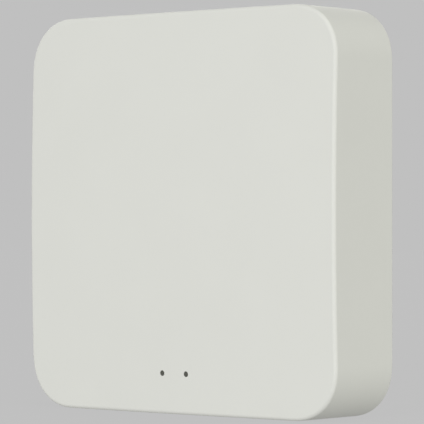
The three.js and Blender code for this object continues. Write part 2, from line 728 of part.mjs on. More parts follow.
function switchBody() {
  const y = -BUTTON_ABOVE_BOARD;
  const block = box(
    BUTTON_X - SWITCH_HALF, BUTTON_X + SWITCH_HALF, y - SWITCH_HALF, -GAP, SWITCH_BOTTOM, SWITCH_TOP,
  );
  return cut(block, cylinderAlongZ(PLUNGER_BORE, PLUNGER_BOTTOM - 0.6, SWITCH_TOP + 1, BUTTON_X, y, 20));
}

function switchFrame() {
  const y = -BUTTON_ABOVE_BOARD;
  const [low, high] = [SWITCH_TOP + GAP, SWITCH_TOP + 0.35];
  const plate = box(BUTTON_X - 3.4, BUTTON_X + 3.4, y - SWITCH_HALF, -GAP, low, high);
  const legs = [-3.4, 3.1].map((x) => (
    box(BUTTON_X + x, BUTTON_X + x + 0.3, y - 2, -GAP, SWITCH_BOTTOM + 0.5, high)
  ));
  return cut(join(plate, ...legs), cylinderAlongZ(PLUNGER_BORE, low - 1, high + 1, BUTTON_X, y, 20));
}

function switchPlunger() {
  return cylinderAlongZ(PLUNGER_RADIUS, PLUNGER_BOTTOM, PLUNGER_TOP, BUTTON_X, -BUTTON_ABOVE_BOARD, 20);
}

// ---------------------------------------------------------------- light guide and its shroud

const GUIDE_SHAFT_RADIUS = 1.3;
const GUIDE_TIP_RADIUS = 0.55;
const GUIDE_TIP_RECESS = 0.1; // how far the tips stop short of the face
const GUIDE_STEP_Y = FRONT_Y + crownDrop(LED_X, LED_Z) + FRONT_WALL + 0.15;
const GUIDE_TIP_Y = FRONT_Y + crownDrop(LED_X, LED_Z) + GUIDE_TIP_RECESS;
const GUIDE_END_Y = BOARD_FRONT_Y - LED_HEIGHT - 0.3;
const BRIDGE_Y = -7.6;
const BRIDGE_THICKNESS = 1.2;

function lightGuide() {
  const side = LED_X + GUIDE_SHAFT_RADIUS;
  const bridge = box(-side, side, BRIDGE_Y, BRIDGE_Y + BRIDGE_THICKNESS, LED_Z - 1.5, LED_Z + 1.5);
  const rods = [-LED_X, LED_X].flatMap((x) => [
    cylinderAlongY(GUIDE_TIP_RADIUS, GUIDE_TIP_Y, GUIDE_STEP_Y + 0.5, x, LED_Z, 16),
    cylinderAlongY(GUIDE_SHAFT_RADIUS, GUIDE_STEP_Y, GUIDE_END_Y, x, LED_Z, 16),
  ]);
  return join(bridge, ...rods);
}

function lightShroud() {
  const [halfX, halfZ] = [7.2, 3.3];
  const frontY = BRIDGE_Y + BRIDGE_THICKNESS + 0.2;
  const backY = BOARD_FRONT_Y - 0.1;
  const boreRadius = GUIDE_SHAFT_RADIUS + 0.2;
  const block = box(-halfX, halfX, frontY, backY, LED_Z - halfZ, LED_Z + halfZ);
  return cut(
    block,
    ...[-LED_X, LED_X].map((x) => cylinderAlongY(boreRadius, frontY - 1, backY + 1, x, LED_Z, 16)),
    ...[-LED_X, LED_X].map((x) => (
      box(x - 2, x + 2, backY - LED_HEIGHT - 0.4, backY + 1, LED_Z - 1.7, LED_Z + 1.7)
    )),
  );
}

// ---------------------------------------------------------------- assembly

function piece(name, geometry, material, x = 0, z = 0) {
  const mesh = new THREE.Mesh(geometry, material);
  mesh.name = name;
  mesh.position.set(x, 0, z);
  return mesh;
}

const CORNER_NAMES = ['lower_left', 'lower_right', 'upper_left', 'upper_right'];

function casing() {
  const group = new THREE.Group();
  group.position.z = CENTRE_Z;
  group.add(
    piece('front_cover', frontCover(), FINISH.casing),
    piece('rear_cover', rearCover(), FINISH.casing),
    piece('rating_label', ratingLabel(), FINISH.label),
    piece('light_guide', lightGuide(), FINISH.lens),
    piece('light_shroud', lightShroud(), FINISH.blackPlastic),
  );
  fourCorners(FOOT_OFFSET, FOOT_OFFSET).forEach(([x, z], i) => {
    group.add(
      piece(`foot_${CORNER_NAMES[i]}`, foot(), FINISH.rubber, x, z),
      piece(`case_screw_${CORNER_NAMES[i]}`, screw(HEAD_SEAT_Y, CASE_SCREW_LENGTH), FINISH.steel, x, z),
    );
  });
  fourCorners(POST_X, POST_Z).forEach(([x, z], i) => {
    const boardScrew = screw(BOARD_BACK_Y, BOARD_SCREW_LENGTH);
    group.add(piece(`board_screw_${CORNER_NAMES[i]}`, boardScrew, FINISH.steel, x, z));
  });
  return group;
}

function electronics() {
  const group = new THREE.Group();
  group.position.set(0, BOARD_FRONT_Y, CENTRE_Z);
  group.add(
    piece('main_board', mainBoard(), FINISH.board),
    piece('main_processor', chip(14, 14, 1.5, 1, 1), FINISH.chip, -4, 0),
    piece('memory_chip', chip(22.2, 10.2, 1.1, 0, 0.8), FINISH.chip, 18.6, 0),
    piece('flash_chip', chip(5, 4, 1.7, 0, 1), FINISH.chip, -4, -17),
    piece('network_transformer', networkTransformer(), FINISH.blackPlastic, JACK_X, 17.5),
    piece('crystal', crystal(), FINISH.tin, 2.5, 12.5),
    piece('power_inductor_input', inductor(), FINISH.ferrite, 5.5, 24),
    piece('power_inductor_core', inductor(), FINISH.ferrite, 24, 24),
    piece('voltage_regulator', regulator(), FINISH.chip, 15, 24.5),
    piece('input_capacitor', bulkCapacitor(), FINISH.aluminium, 12, 34),
    piece('output_capacitor', bulkCapacitor(), FINISH.aluminium, -3.5, 30),
    piece('network_led', indicatorLed(), FINISH.led, -LED_X, LED_Z),
    piece('radio_led', indicatorLed(), FINISH.led, LED_X, LED_Z),
    piece('radio_board', radioBoard(), FINISH.board, -29.3, 0),
    piece('radio_shield', radioShield(), FINISH.tin, -29.3, 0),
    piece('ethernet_shield', ethernetShield(), FINISH.tin),
    piece('ethernet_insert', ethernetInsert(), FINISH.blackPlastic),
    piece('ethernet_contacts', ethernetContacts(), FINISH.gold),
    piece('usb_socket_shell', usbSocketShell(), FINISH.tin),
    piece('usb_socket_tongue', usbSocketTongue(), FINISH.blackPlastic),
    piece('switch_body', switchBody(), FINISH.blackPlastic),
    piece('switch_frame', switchFrame(), FINISH.tin),
    piece('switch_plunger', switchPlunger(), FINISH.blackPlastic),
    piece('reset_button', resetButton(), FINISH.casing),
  );
  return group;
}

const hub = new THREE.Group();
hub.add(casing(), electronics());

export default hub;
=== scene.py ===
import math
import random

import bmesh
import bpy
from mathutils import Matrix, Vector


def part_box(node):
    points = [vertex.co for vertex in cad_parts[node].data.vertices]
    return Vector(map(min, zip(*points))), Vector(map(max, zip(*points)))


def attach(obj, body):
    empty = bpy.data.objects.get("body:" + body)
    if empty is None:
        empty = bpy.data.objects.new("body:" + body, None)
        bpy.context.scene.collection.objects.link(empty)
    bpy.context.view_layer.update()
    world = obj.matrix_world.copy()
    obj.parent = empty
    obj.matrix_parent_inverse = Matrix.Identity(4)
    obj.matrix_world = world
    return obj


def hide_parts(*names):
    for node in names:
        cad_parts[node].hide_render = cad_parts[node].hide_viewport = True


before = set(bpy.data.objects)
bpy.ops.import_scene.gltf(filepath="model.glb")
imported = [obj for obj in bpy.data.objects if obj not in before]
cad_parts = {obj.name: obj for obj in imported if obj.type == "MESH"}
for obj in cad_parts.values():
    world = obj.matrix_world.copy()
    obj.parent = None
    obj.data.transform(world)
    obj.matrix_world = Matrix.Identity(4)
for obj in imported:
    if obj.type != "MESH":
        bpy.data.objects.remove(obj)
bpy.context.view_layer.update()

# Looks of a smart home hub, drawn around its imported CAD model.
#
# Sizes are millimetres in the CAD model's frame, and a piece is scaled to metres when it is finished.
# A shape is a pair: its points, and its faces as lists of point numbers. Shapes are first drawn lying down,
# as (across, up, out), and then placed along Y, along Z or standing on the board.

MM = 0.001
TURN = 2 * math.pi
X, Y, Z = Vector((1, 0, 0)), Vector((0, 1, 0)), Vector((0, 0, 1))


def box_mm(node):
    """A CAD node's lowest and highest corner, in millimetres."""
    low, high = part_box(node)
    return low / MM, high / MM


def middle_mm(node):
    low, high = box_mm(node)
    return (low + high) / 2


def size_mm(node):
    low, high = box_mm(node)
    return high - low


# ---------------- dimensions

CASE_LOW, CASE_HIGH = box_mm("front_cover")
WIDTH = CASE_HIGH.x - CASE_LOW.x
HEIGHT = CASE_HIGH.z - CASE_LOW.z
FRONT_Y = CASE_LOW.y
BACK_Y = CASE_HIGH.y
CENTRE_Z = (CASE_LOW.z + CASE_HIGH.z) / 2
TOP_Z = CASE_HIGH.z

CORNER_REACH = 12.1  # how far a corner runs along each side
CORNER_EXPONENT = 2.2  # 2 would be a round corner, and more is squarer
CROWN_RADIUS = 920  # of the domed front
RIM_RADIUS = 0.8  # between the front and the sides
BACK_EDGE_RADIUS = 0.4
WALL = 2
FRONT_WALL = 1.8
REBATE_WALL = 1.2  # what is left of the wall beside the rear cover
GAP = 0.05  # between pieces that rest on each other

COVER_LOW, COVER_HIGH = box_mm("rear_cover")
COVER_OUTER_Y = COVER_HIGH.y
COVER_INNER_Y = COVER_OUTER_Y - 2
COVER_INSET = (WIDTH - (COVER_HIGH.x - COVER_LOW.x)) / 2
FOOT_RECESS_Y = COVER_OUTER_Y - 0.9
HEAD_SEAT_Y = FOOT_RECESS_Y - 2  # where a case screw's head rests
SCREW_BORE_RADIUS = 1.45

BOARD_LOW, BOARD_HIGH = box_mm("main_board")
BOARD_Y = BOARD_LOW.y  # the side of the board that carries the parts

SIDES = [(-1, -1), (1, -1), (-1, 1), (1, 1)]
CORNER_NAMES = ["lower_left", "lower_right", "upper_left", "upper_right"]
FOOT_OFFSET = middle_mm("foot_upper_right").x
POST_X = middle_mm("board_screw_upper_right").x
POST_Z = middle_mm("board_screw_upper_right").z - CENTRE_Z

# ---------------- flat outlines


def case_outline(inset, corner_steps=20, side_steps=10):
    """The casing's outline moved in, as points from its centre: straight sides and squarish round corners."""
    reach = CORNER_REACH - inset
    flat_x, flat_z = WIDTH / 2 - CORNER_REACH, HEIGHT / 2 - CORNER_REACH
    power = 2 / CORNER_EXPONENT
    corners = []
    for quarter, (side_x, side_z) in enumerate([(1, 1), (-1, 1), (-1, -1), (1, -1)]):
        angles = [step / corner_steps * TURN / 4 for step in range(corner_steps + 1)]
        if quarter % 2:
            angles.reverse()
        for angle in angles:
            x = flat_x + math.cos(angle) ** power * reach
            z = flat_z + math.sin(angle) ** power * reach
            corners.append((side_x * x, side_z * z))
    points = []
    for i, (x, z) in enumerate(corners):
        points.append((x, z))
        if (i + 1) % (corner_steps + 1) == 0:
            next_x, next_z = corners[(i + 1) % len(corners)]
            shares = [step / side_steps for step in range(1, side_steps)]
            points += [(x + (next_x - x) * s, z + (next_z - z) * s) for s in shares]
    return points


def circle(radius, steps=48):
    angles = [TURN * i / steps for i in range(steps)]
    return [(math.cos(a) * radius, math.sin(a) * radius) for a in angles]


def rounded_polygon(corners, radius, steps=4):
    """A polygon with an arc at every corner."""
    out = []
    for i, corner in enumerate(corners):
        corner = Vector(corner)
        to_before = (Vector(corners[i - 1]) - corner).normalized()
        to_after = (Vector(corners[(i + 1) % len(corners)]) - corner).normalized()
        half = to_before.angle(to_after) / 2
        centre = corner + (to_before + to_after).normalized() * radius / math.sin(half)
        reach = radius / math.tan(half)
        start = (corner + to_before * reach - centre).normalized()
        end = (corner + to_after * reach - centre).normalized()
        out += [tuple(centre + start.slerp(end, step / steps) * radius) for step in range(steps + 1)]
    return out


def rounded_rectangle(width, height, radius, steps=5):
    x, y = width / 2, height / 2
    return rounded_polygon([(-x, -y), (x, -y), (x, y), (-x, y)], radius, steps)


def stadium(length, radius, steps=12):
    """An upright slot with round ends; length is between the ends' centres."""
    angles = [TURN / 2 * step / steps for step in range(steps + 1)]
    upper = [(math.cos(a) * radius, length / 2 + math.sin(a) * radius) for a in angles]
    return upper + [(-u, -v) for u, v in upper]


def keyhole(entry_radius, slot_radius, travel, steps=32):
    """A round entry at the origin with a narrower slot that runs up from it."""
    mouth = math.asin(slot_radius / entry_radius)
    start, sweep = TURN / 4 + mouth, TURN - 2 * mouth
    entry = [start + sweep * i / steps for i in range(steps + 1)]
    top = [TURN / 2 * i / steps for i in range(steps + 1)]
    out = [(math.cos(a) * entry_radius, math.sin(a) * entry_radius) for a in entry]
    return out + [(math.cos(a) * slot_radius, travel + math.sin(a) * slot_radius) for a in top]


# ---------------- solid shapes


def merged(shapes):
    """Several shapes as one."""
    points, faces = [], []
    for shape_points, shape_faces in shapes:
        start = len(points)
        points += shape_points
        faces += [[start + i for i in face] for face in shape_faces]
    return points, faces


def loft(rings, first_tip=None, last_tip=None):
    """A closed skin through rings of equal length. Each end closes at its tip, or flat if it has none."""
    count = len(rings[0])
    points = [Vector(p) for ring in rings for p in ring]
    faces = []
    for start in range(0, count * (len(rings) - 1), count):
        for k in range(count):
            after = (k + 1) % count
            faces.append([start + k, start + after, start + count + after, start + count + k])
    for start, tip in ((0, first_tip), (count * (len(rings) - 1), last_tip)):
        ring = list(range(start, start + count))
        if tip is None:
            faces.append(ring)
        else:
            faces += [[a, b, len(points)] for a, b in zip(ring, ring[1:] + ring[:1])]
            points.append(Vector(tip))
    return points, faces


def prism(outline_at, levels):
    """Rises through (growth, height) levels. outline_at gives the outline grown by that much."""
    return loft([[(u, v, height) for u, v in outline_at(grow)] for grow, height in levels])


def turned(profile, steps=48):
    """Turns (radius, height) about the middle. The profile starts and ends on the axis."""
    rings = [[(u, v, height) for u, v in circle(radius, steps)] for radius, height in profile[1:-1]]
    return loft(rings, (0, 0, profile[0][1]), (0, 0, profile[-1][1]))


def strip(path, width, thickness):
    """A flat bar bent along a path of (across, out) points."""
    rings = []
    for i, (u, h) in enumerate(path):
        along = Vector(path[min(i + 1, len(path) - 1)]) - Vector(path[max(i - 1, 0)])
        side = Vector((-along.y, along.x)).normalized() * thickness / 2
        w = width / 2
        corners = [(side, w), (-side, w), (-side, -w), (side, -w)]
        rings.append([(u + s.x, v, h + s.y) for s, v in corners])
    return loft(rings)


def rod(radius, levels, steps=48):
    """A round bar, or a cutter for a round hole, through (growth, height) levels."""
    return prism(lambda grow: circle(radius + grow, steps), levels)


def slab(width, height, corner, levels, steps=5):
    """A rectangle with rounded corners through (growth, height) levels."""
    return prism(lambda grow: rounded_rectangle(width + 2 * grow, height + 2 * grow, corner, steps), levels)


def block(width, height, low, high, corner, edge):
    """A box with rounded upright corners and softened ends."""
    return slab(width, height, corner, [(-edge, low), (0, low + edge), (0, high - edge), (-edge, high)], 3)


def moved(shape, u=0, v=0, h=0):
    return [p + Vector((u, v, h)) for p in shape[0]], shape[1]


def spun(shape, angle):
    """Turns a shape about its out direction."""
    turn = Matrix.Rotation(angle, 3, "Z")
    return [turn @ p for p in shape[0]], shape[1]


def row(shape, count, pitch):
    """Copies in a row that runs up, centred."""
    return merged([moved(shape, v=(i - (count - 1) / 2) * pitch) for i in range(count)])


def placed(shape, origin, across, up, out):
    """Moves a shape drawn as (across, up, out) to its place."""
    return [origin + across * u + up * v + out * h for u, v, h in shape[0]], shape[1]


def along_y(shape, x, z):
    return placed(shape, Vector((x, 0, z)), X, Z, Y)


def along_z(shape, x, y):
    return placed(shape, Vector((x, y, 0)), X, Y, Z)


def on_board(shape, x, z):
    """Stands a shape on the component side of the board."""
    return placed(shape, Vector((x, BOARD_Y, z)), X, Z, -Y)


def at_corners(shape, x, z):
    """Four copies along Y, one towards each corner of the casing."""
    return merged([along_y(shape, side_x * x, CENTRE_Z + side_z * z) for side_x, side_z in SIDES])


def opening(inside, surface, radius=0.2):
    """Levels of a cutter that flares in a quarter round where it comes out of a surface."""
    out = 1 if surface > inside else -1
    steps, beyond = 4, 1
    levels = [(0, inside)]
    for step in range(steps + 1):
        angle = step / steps * TURN / 4
        levels.append((radius * (1 - math.cos(angle)), surface - out * radius * (1 - math.sin(angle))))
    return levels + [(radius, surface + out * beyond)]


def arc(centre, radius, start, end, steps=5):
    """Points of an arc in a profile, between two angles in degrees."""
    angles = [math.radians(start + (end - start) * i / steps) for i in range(steps + 1)]
    return [(centre[0] + radius * math.cos(a), centre[1] + radius * math.sin(a)) for a in angles]


# ---------------- objects


def in_scene(name, data):
    obj = bpy.data.objects.new(name, data)
    bpy.context.scene.collection.objects.link(obj)
    return obj


def as_object(name, shape):
    """A mesh object, still in millimetres, with its faces pointing out."""
    mesh = bpy.data.meshes.new(name)
    mesh.from_pydata(shape[0], [], shape[1])
    bm = bmesh.new()
    bm.from_mesh(mesh)
    bmesh.ops.recalc_face_normals(bm, faces=bm.faces)
    bm.to_mesh(mesh)
    bm.free()
    return in_scene(name, mesh)


def apply_modifiers(obj):
    graph = bpy.context.evaluated_depsgraph_get()
    mesh = bpy.data.meshes.new_from_object(obj.evaluated_get(graph), depsgraph=graph)
    obj.modifiers.clear()
    obj.data = mesh


def combine(obj, shape, operation):
    """Cuts a closed shape out of an object, or joins it on."""
    tool = as_object("tool", shape)
    modifier = obj.modifiers.new("combine", "BOOLEAN")
    modifier.object = tool
    modifier.operation = operation
    modifier.solver = "MANIFOLD"
    apply_modifiers(obj)
    bpy.data.objects.remove(tool)


def cut(obj, *shapes):
    combine(obj, merged(shapes), "DIFFERENCE")


def join(obj, *shapes):
    for shape in shapes:
        combine(obj, shape, "UNION")


def finish_piece(obj, material, node=None, body="casing", sharp=35):
    """Scales a piece to metres, shades it, and puts it in the frame, in place of a CAD node if it has one."""
    obj.data.transform(Matrix.Scale(MM, 4))
    obj.data.shade_smooth()
    obj.data.set_sharp_from_angle(angle=math.radians(sharp))
    weighted = obj.modifiers.new("weighted", "WEIGHTED_NORMAL")
    weighted.keep_sharp = True
    weighted.weight = 80
    apply_modifiers(obj)
    obj.data.materials.clear()
    obj.data.materials.append(material)
    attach(obj, body)
    if node:
        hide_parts(node)


def add_piece(name, shape, material, node=None, body="casing"):
    finish_piece(as_object(name, shape), material, node, body)


# ---------------- material helpers


def new_material(name, color, roughness, metallic=0.0):
    """A material with a principled shader, and its node tree."""
    material = bpy.data.materials.new(name)
    material.use_nodes = True
    shader = material.node_tree.nodes["Principled BSDF"]
    shader.inputs["Base Color"].default_value = (*color, 1)
    shader.inputs["Roughness"].default_value = roughness
    shader.inputs["Metallic"].default_value = metallic
    return material, material.node_tree, shader


def add_node(tree, kind, **values):
    """A new node. A value is a number, a tuple or another node's output; _ stands for a space in a name."""
    node = tree.nodes.new("ShaderNode" + kind)
    for name, value in values.items():
        socket = node.inputs[name.replace("_", " ")]
        if isinstance(value, bpy.types.NodeSocket):
            tree.links.new(value, socket)
        else:
            socket.default_value = value
    return node


def point_on_piece(tree, stretch=(1, 1, 1)):
    """The point in metres in the model's frame, which can be stretched along its axes."""
    place = add_node(tree, "TexCoord").outputs["Object"]
    return add_node(tree, "Mapping", Scale=stretch, Vector=place).outputs["Vector"]


def noise(tree, size_mm, detail=3.0, roughness=0.5, stretch=(1, 1, 1)):
    """Noise whose lumps are about size_mm across, from 0 to 1."""
    scale, point = 1 / (size_mm * MM), point_on_piece(tree, stretch)
    node = add_node(tree, "TexNoise", Scale=scale, Detail=detail, Roughness=roughness, Vector=point)
    return node.outputs["Fac"]


def cells(tree, size_mm, output):
    node = add_node(tree, "TexVoronoi", Scale=1 / (size_mm * MM), Vector=point_on_piece(tree))
    node.distance = "CHEBYCHEV"
    return node.outputs[output]


def stripes(tree, pitch_mm, direction):
    """Straight stripes across X, Y or Z, from 0 to 1."""
    scale = TURN / 20 / (pitch_mm * MM)
    node = add_node(tree, "TexWave", Scale=scale, Vector=point_on_piece(tree))
    node.bands_direction = direction
    return node.outputs["Fac"]


def calculate(tree, operation, first, second):
    node = tree.nodes.new("ShaderNodeMath")
    node.operation = operation
    for socket, value in zip(node.inputs, (first, second)):
        if isinstance(value, (int, float)):
            socket.default_value = value
        else:
            tree.links.new(value, socket)
    return node.outputs[0]


def ramp(tree, value, *stops):
    """Maps a number from 0 to 1 to colours, given as (position, colour)."""
    node = tree.nodes.new("ShaderNodeValToRGB")
    elements = node.color_ramp.elements
    while len(elements) < len(stops):
        elements.new(0.5)
    for element, (position, color) in zip(elements, stops):
        element.position = position
        element.color = (*color, 1)
    tree.links.new(value, node.inputs["Fac"])
    return node.outputs["Color"]


def shade(color, factor):
    return tuple(min(c * factor, 1) for c in color)


def vary_color(tree, shader, color, amount, size_mm, stretch=(1, 1, 1)):
    """Lets the colour drift a little, lighter and darker."""
    stops = (0.3, shade(color, 1 - amount)), (0.7, shade(color, 1 + amount))
    drift = ramp(tree, noise(tree, size_mm, 2, 0.5, stretch), *stops)
    tree.links.new(drift, shader.inputs["Base Color"])


def vary_roughness(tree, shader, low, high, size_mm, stretch=(1, 1, 1)):
    value = noise(tree, size_mm, stretch=stretch)
    node = add_node(tree, "MapRange", Value=value, From_Min=0.3, From_Max=0.7, To_Min=low, To_Max=high)
    tree.links.new(node.outputs["Result"], shader.inputs["Roughness"])


def add_bump(tree, shader, height, depth_mm):
    node = add_node(tree, "Bump", Distance=depth_mm * MM, Height=height)
    tree.links.new(node.outputs["Normal"], shader.inputs["Normal"])


# ---------------- materials


def moulded(name, color, roughness, grain_mm, depth_mm, drift=0.05):
    """Moulded plastic or rubber with an even, very fine matte grain."""
    material, tree, shader = new_material(name, color, roughness)
    vary_color(tree, shader, color, drift, 14)
    vary_roughness(tree, shader, roughness - 0.04, roughness + 0.04, 1.5)
    add_bump(tree, shader, noise(tree, grain_mm, 4, 0.6), depth_mm)
    return material


def metal(name, color, roughness, stretch=(1, 1, 1), drift=0.05):
    """Rolled, drawn or plated metal, with fine marks that run along the axes that aren't stretched."""
    material, tree, shader = new_material(name, color, roughness, metallic=1.0)
    vary_color(tree, shader, color, drift, 2)
    vary_roughness(tree, shader, roughness - 0.07, roughness + 0.07, 0.8, stretch)
    add_bump(tree, shader, noise(tree, 0.4, 3, 0.6, stretch), 0.004)
    return material


def acrylic(name, color, transmission):
    """Moulded acrylic: smooth, partly clear, with faint flow marks."""
    material, tree, shader = new_material(name, color, 0.12)
    shader.inputs["Transmission Weight"].default_value = transmission
    shader.inputs["IOR"].default_value = 1.49
    vary_color(tree, shader, color, 0.08, 0.8)
    add_bump(tree, shader, noise(tree, 0.5), 0.004)
    return material


def solder_mask(name, bare, copper):
    """A board's green lacquer: copper tracks show through it as paler raised lines, one way or the other."""
    material, tree, shader = new_material(name, bare, 0.32)
    shader.inputs["Coat Weight"].default_value = 0.25
    region = calculate(tree, "GREATER_THAN", cells(tree, 9, "Distance"), 0.42)
    upright = calculate(tree, "GREATER_THAN", stripes(tree, 0.8, "X"), 0.62)
    level = calculate(tree, "GREATER_THAN", stripes(tree, 0.8, "Z"), 0.62)
    chosen = calculate(tree, "ADD", calculate(tree, "MULTIPLY", region, upright),
                       calculate(tree, "MULTIPLY", calculate(tree, "SUBTRACT", 1, region), level))
    used = calculate(tree, "GREATER_THAN", noise(tree, 5, 1), 0.5)
    tracks = calculate(tree, "MULTIPLY", chosen, used)
    tree.links.new(ramp(tree, tracks, (0.2, bare), (0.8, copper)), shader.inputs["Base Color"])
    vary_roughness(tree, shader, 0.27, 0.37, 2)
    add_bump(tree, shader, tracks, 0.03)
    return material


def speckled(name, color, fleck, roughness, size_mm):
    """Pressed or moulded stuff with a visible grain of flecks."""
    material, tree, shader = new_material(name, color, roughness)
    flecks = noise(tree, size_mm, 5, 0.7)
    tree.links.new(ramp(tree, flecks, (0.45, color), (0.72, fleck)), shader.inputs["Base Color"])
    vary_roughness(tree, shader, roughness - 0.06, roughness + 0.06, 1)
    add_bump(tree, shader, flecks, 0.015)
    return material


CASING = moulded("casing_plastic", (0.584, 0.589, 0.543), 0.62, 0.22, 0.006, 0.006)
RUBBER = moulded("foot_rubber", (0.045, 0.045, 0.044), 0.78, 0.35, 0.012, 0.12)
BLACK_PLASTIC = moulded("connector_plastic", (0.014, 0.014, 0.015), 0.42, 0.3, 0.006, 0.1)
WHITE_PLASTIC = moulded("led_package", (0.72, 0.7, 0.64), 0.45, 0.2, 0.004, 0.03)
TIN = metal("tinned_steel", (0.55, 0.55, 0.555), 0.42, (1, 1, 0.08))
STEEL = metal("screw_steel", (0.52, 0.53, 0.54), 0.34, (1, 0.2, 1))
GOLD = metal("contact_gold", (0.78, 0.56, 0.22), 0.25, (1, 1, 0.1))
ALUMINIUM = metal("capacitor_can", (0.7, 0.71, 0.73), 0.32, (1, 0.1, 1))
# Dark tint of the light guide, partly painted shade: its darkness also stands in for the shade inside the two
# small holes in the face.
SMOKE_AND_PAINTED_SHADE = acrylic("smoked_acrylic", (0.09, 0.092, 0.074), 0.25)
PHOSPHOR = acrylic("led_phosphor", (0.75, 0.62, 0.16), 0.1)
BOARD_GREEN = solder_mask("board_laminate", (0.005, 0.085, 0.034), (0.01, 0.14, 0.057))
RADIO_GREEN = solder_mask("radio_laminate", (0.004, 0.065, 0.032), (0.008, 0.11, 0.055))
EPOXY = speckled("chip_epoxy", (0.016, 0.016, 0.018), (0.03, 0.03, 0.032), 0.5, 0.12)
FERRITE = speckled("inductor_ferrite", (0.04, 0.04, 0.045), (0.085, 0.085, 0.09), 0.62, 0.25)
CERAMIC = speckled("part_ceramic", (0.3, 0.2, 0.11), (0.42, 0.3, 0.18), 0.4, 0.15)
LABEL = speckled("label_film", (0.5, 0.505, 0.505), (0.53, 0.535, 0.535), 0.38, 0.6)
LABEL_INK = moulded("label_ink", (0.1, 0.1, 0.105), 0.4, 0.3, 0.002, 0.05)

# ---------------- front cover

LED_MIDDLES = [middle_mm("network_led"), middle_mm("radio_led")]
LED_HOLE_RADIUS = 0.63
BOARD_POST_RADIUS = 3
CASE_POST_RADIUS = 3.2
RIB_THICKNESS = 1.2
RIB_DROP = 6  # from a post's end to its rib's
PILOT_RADIUS = 1.3
PILOT_DEPTH = 8  # in front of the board

JACK_LOW, JACK_HIGH = box_mm("ethernet_shield")
JACK, JACK_SIZE = (JACK_LOW + JACK_HIGH) / 2, JACK_HIGH - JACK_LOW
USB_LOW, USB_HIGH = box_mm("usb_socket_shell")
USB, USB_SIZE = (USB_LOW + USB_HIGH) / 2, USB_HIGH - USB_LOW
USB_RECESS_Z = TOP_Z - 0.9
BUTTON = middle_mm("reset_button")
BUTTON_HOLE_RADIUS = 2.7


def crown_y(x, z):
    """Where the domed front lies at a point of the face, counted from the casing's centre."""
    return FRONT_Y + (x * x + z * z) / (2 * CROWN_RADIUS)


def crown_ring(inset, scale, behind):
    """A ring that follows the dome at some depth behind its surface."""
    points = [(x * scale, z * scale) for x, z in case_outline(inset)]
    return [(x, crown_y(x, z) + behind, CENTRE_Z + z) for x, z in points]


def flat_ring(inset, y):
    return [(x, y, CENTRE_Z + z) for x, z in case_outline(inset)]


def shell_shape():
    """The bare shell in one skin, from the dome's middle down the outside, round the mouth and up inside."""
    first_ring, steps = 0.02, 12
    scales = [first_ring] + [(i + 1) / steps for i in range(steps)]
    outside = [crown_ring(RIM_RADIUS, s, 0) for s in scales]
    for along, out in arc((0, 0), RIM_RADIUS, 0, 90, 8)[1:]:
        outside.append(crown_ring(RIM_RADIUS - out, 1, RIM_RADIUS - along))
    for along, out in arc((0, 0), BACK_EDGE_RADIUS, 90, 0, 4):
        outside.append(flat_ring(BACK_EDGE_RADIUS - out, BACK_Y - BACK_EDGE_RADIUS + along))
    lip = 0.12
    rebate_y = COVER_INNER_Y - GAP
    inside = [
        flat_ring(REBATE_WALL - lip, BACK_Y),
        flat_ring(REBATE_WALL, BACK_Y - lip),
        flat_ring(REBATE_WALL, rebate_y),
        flat_ring(WALL, rebate_y),
        crown_ring(WALL, 1, FRONT_WALL + RIM_RADIUS),
    ]
    inside += [crown_ring(WALL + RIM_RADIUS, s, FRONT_WALL) for s in reversed(scales)]
    return loft(outside + inside, (0, FRONT_Y, CENTRE_Z), (0, FRONT_Y + FRONT_WALL, CENTRE_Z))


def post(x, z, radius, end_y):
    """A slightly tapered round post that grows out of the front wall."""
    taper = 0.15
    levels = [(taper, crown_y(x, z) + FRONT_WALL / 2), (0, end_y - taper), (-taper, end_y)]
    return along_y(rod(radius, levels, 40), x, CENTRE_Z + z)


def rib(x, z, end_y):
    """A thin wall from a post to the side wall next to it."""
    near, far = abs(x), WIDTH / 2 - WALL / 2
    levels = [(0, FRONT_Y + FRONT_WALL), (0, end_y - 0.1), (-0.1, end_y)]
    shape = prism(lambda grow: rounded_rectangle(far - near, RIB_THICKNESS + 2 * grow, 0.2, 2), levels)
    return along_y(shape, math.copysign((near + far) / 2, x), CENTRE_Z + z)


def pilot_hole(x, z, end_y):
    return along_y(rod(PILOT_RADIUS, opening(BOARD_Y - PILOT_DEPTH, end_y, 0.3), 24), x, CENTRE_Z + z)


def posts():
    """Each post: its place, its radius and where it ends."""
    for side_x, side_z in SIDES:
        yield side_x * POST_X, side_z * POST_Z, BOARD_POST_RADIUS, BOARD_Y - GAP
        yield side_x * FOOT_OFFSET, side_z * FOOT_OFFSET, CASE_POST_RADIUS, COVER_LOW.y - GAP


def indicator_holes():
    """The two round holes, each square to the dome where it stands."""
    hole = rod(LED_HOLE_RADIUS, opening(-3.5, 0, 0.05), 40)
    for led in LED_MIDDLES:
        x, z = led.x, led.z - CENTRE_Z
        outward = Vector((x / CROWN_RADIUS, -1, z / CROWN_RADIUS)).normalized()
        side = outward.cross(Z).normalized()
        yield placed(hole, Vector((x, crown_y(x, z), led.z)), side, side.cross(outward), outward)


def top_windows():
    """Cutters for the jack, for the power socket and the recess round it, and for the button."""
    inside_z = TOP_Z - WALL - 1
    through = opening(inside_z, TOP_Z)
    yield along_z(slab(JACK_SIZE.x + 0.6, JACK_SIZE.y + 0.6, 0.8, through), *JACK.xy)
    yield along_z(slab(11.2, 7.4, 1.6, opening(USB_RECESS_Z, TOP_Z)), *USB.xy)
    behind_recess = [(0, inside_z), (0, USB_RECESS_Z + 0.4)]
    yield along_z(slab(USB_SIZE.x + 0.5, USB_SIZE.y + 0.5, 0.6, behind_recess), *USB.xy)
    yield along_z(rod(BUTTON_HOLE_RADIUS, through), *BUTTON.xy)


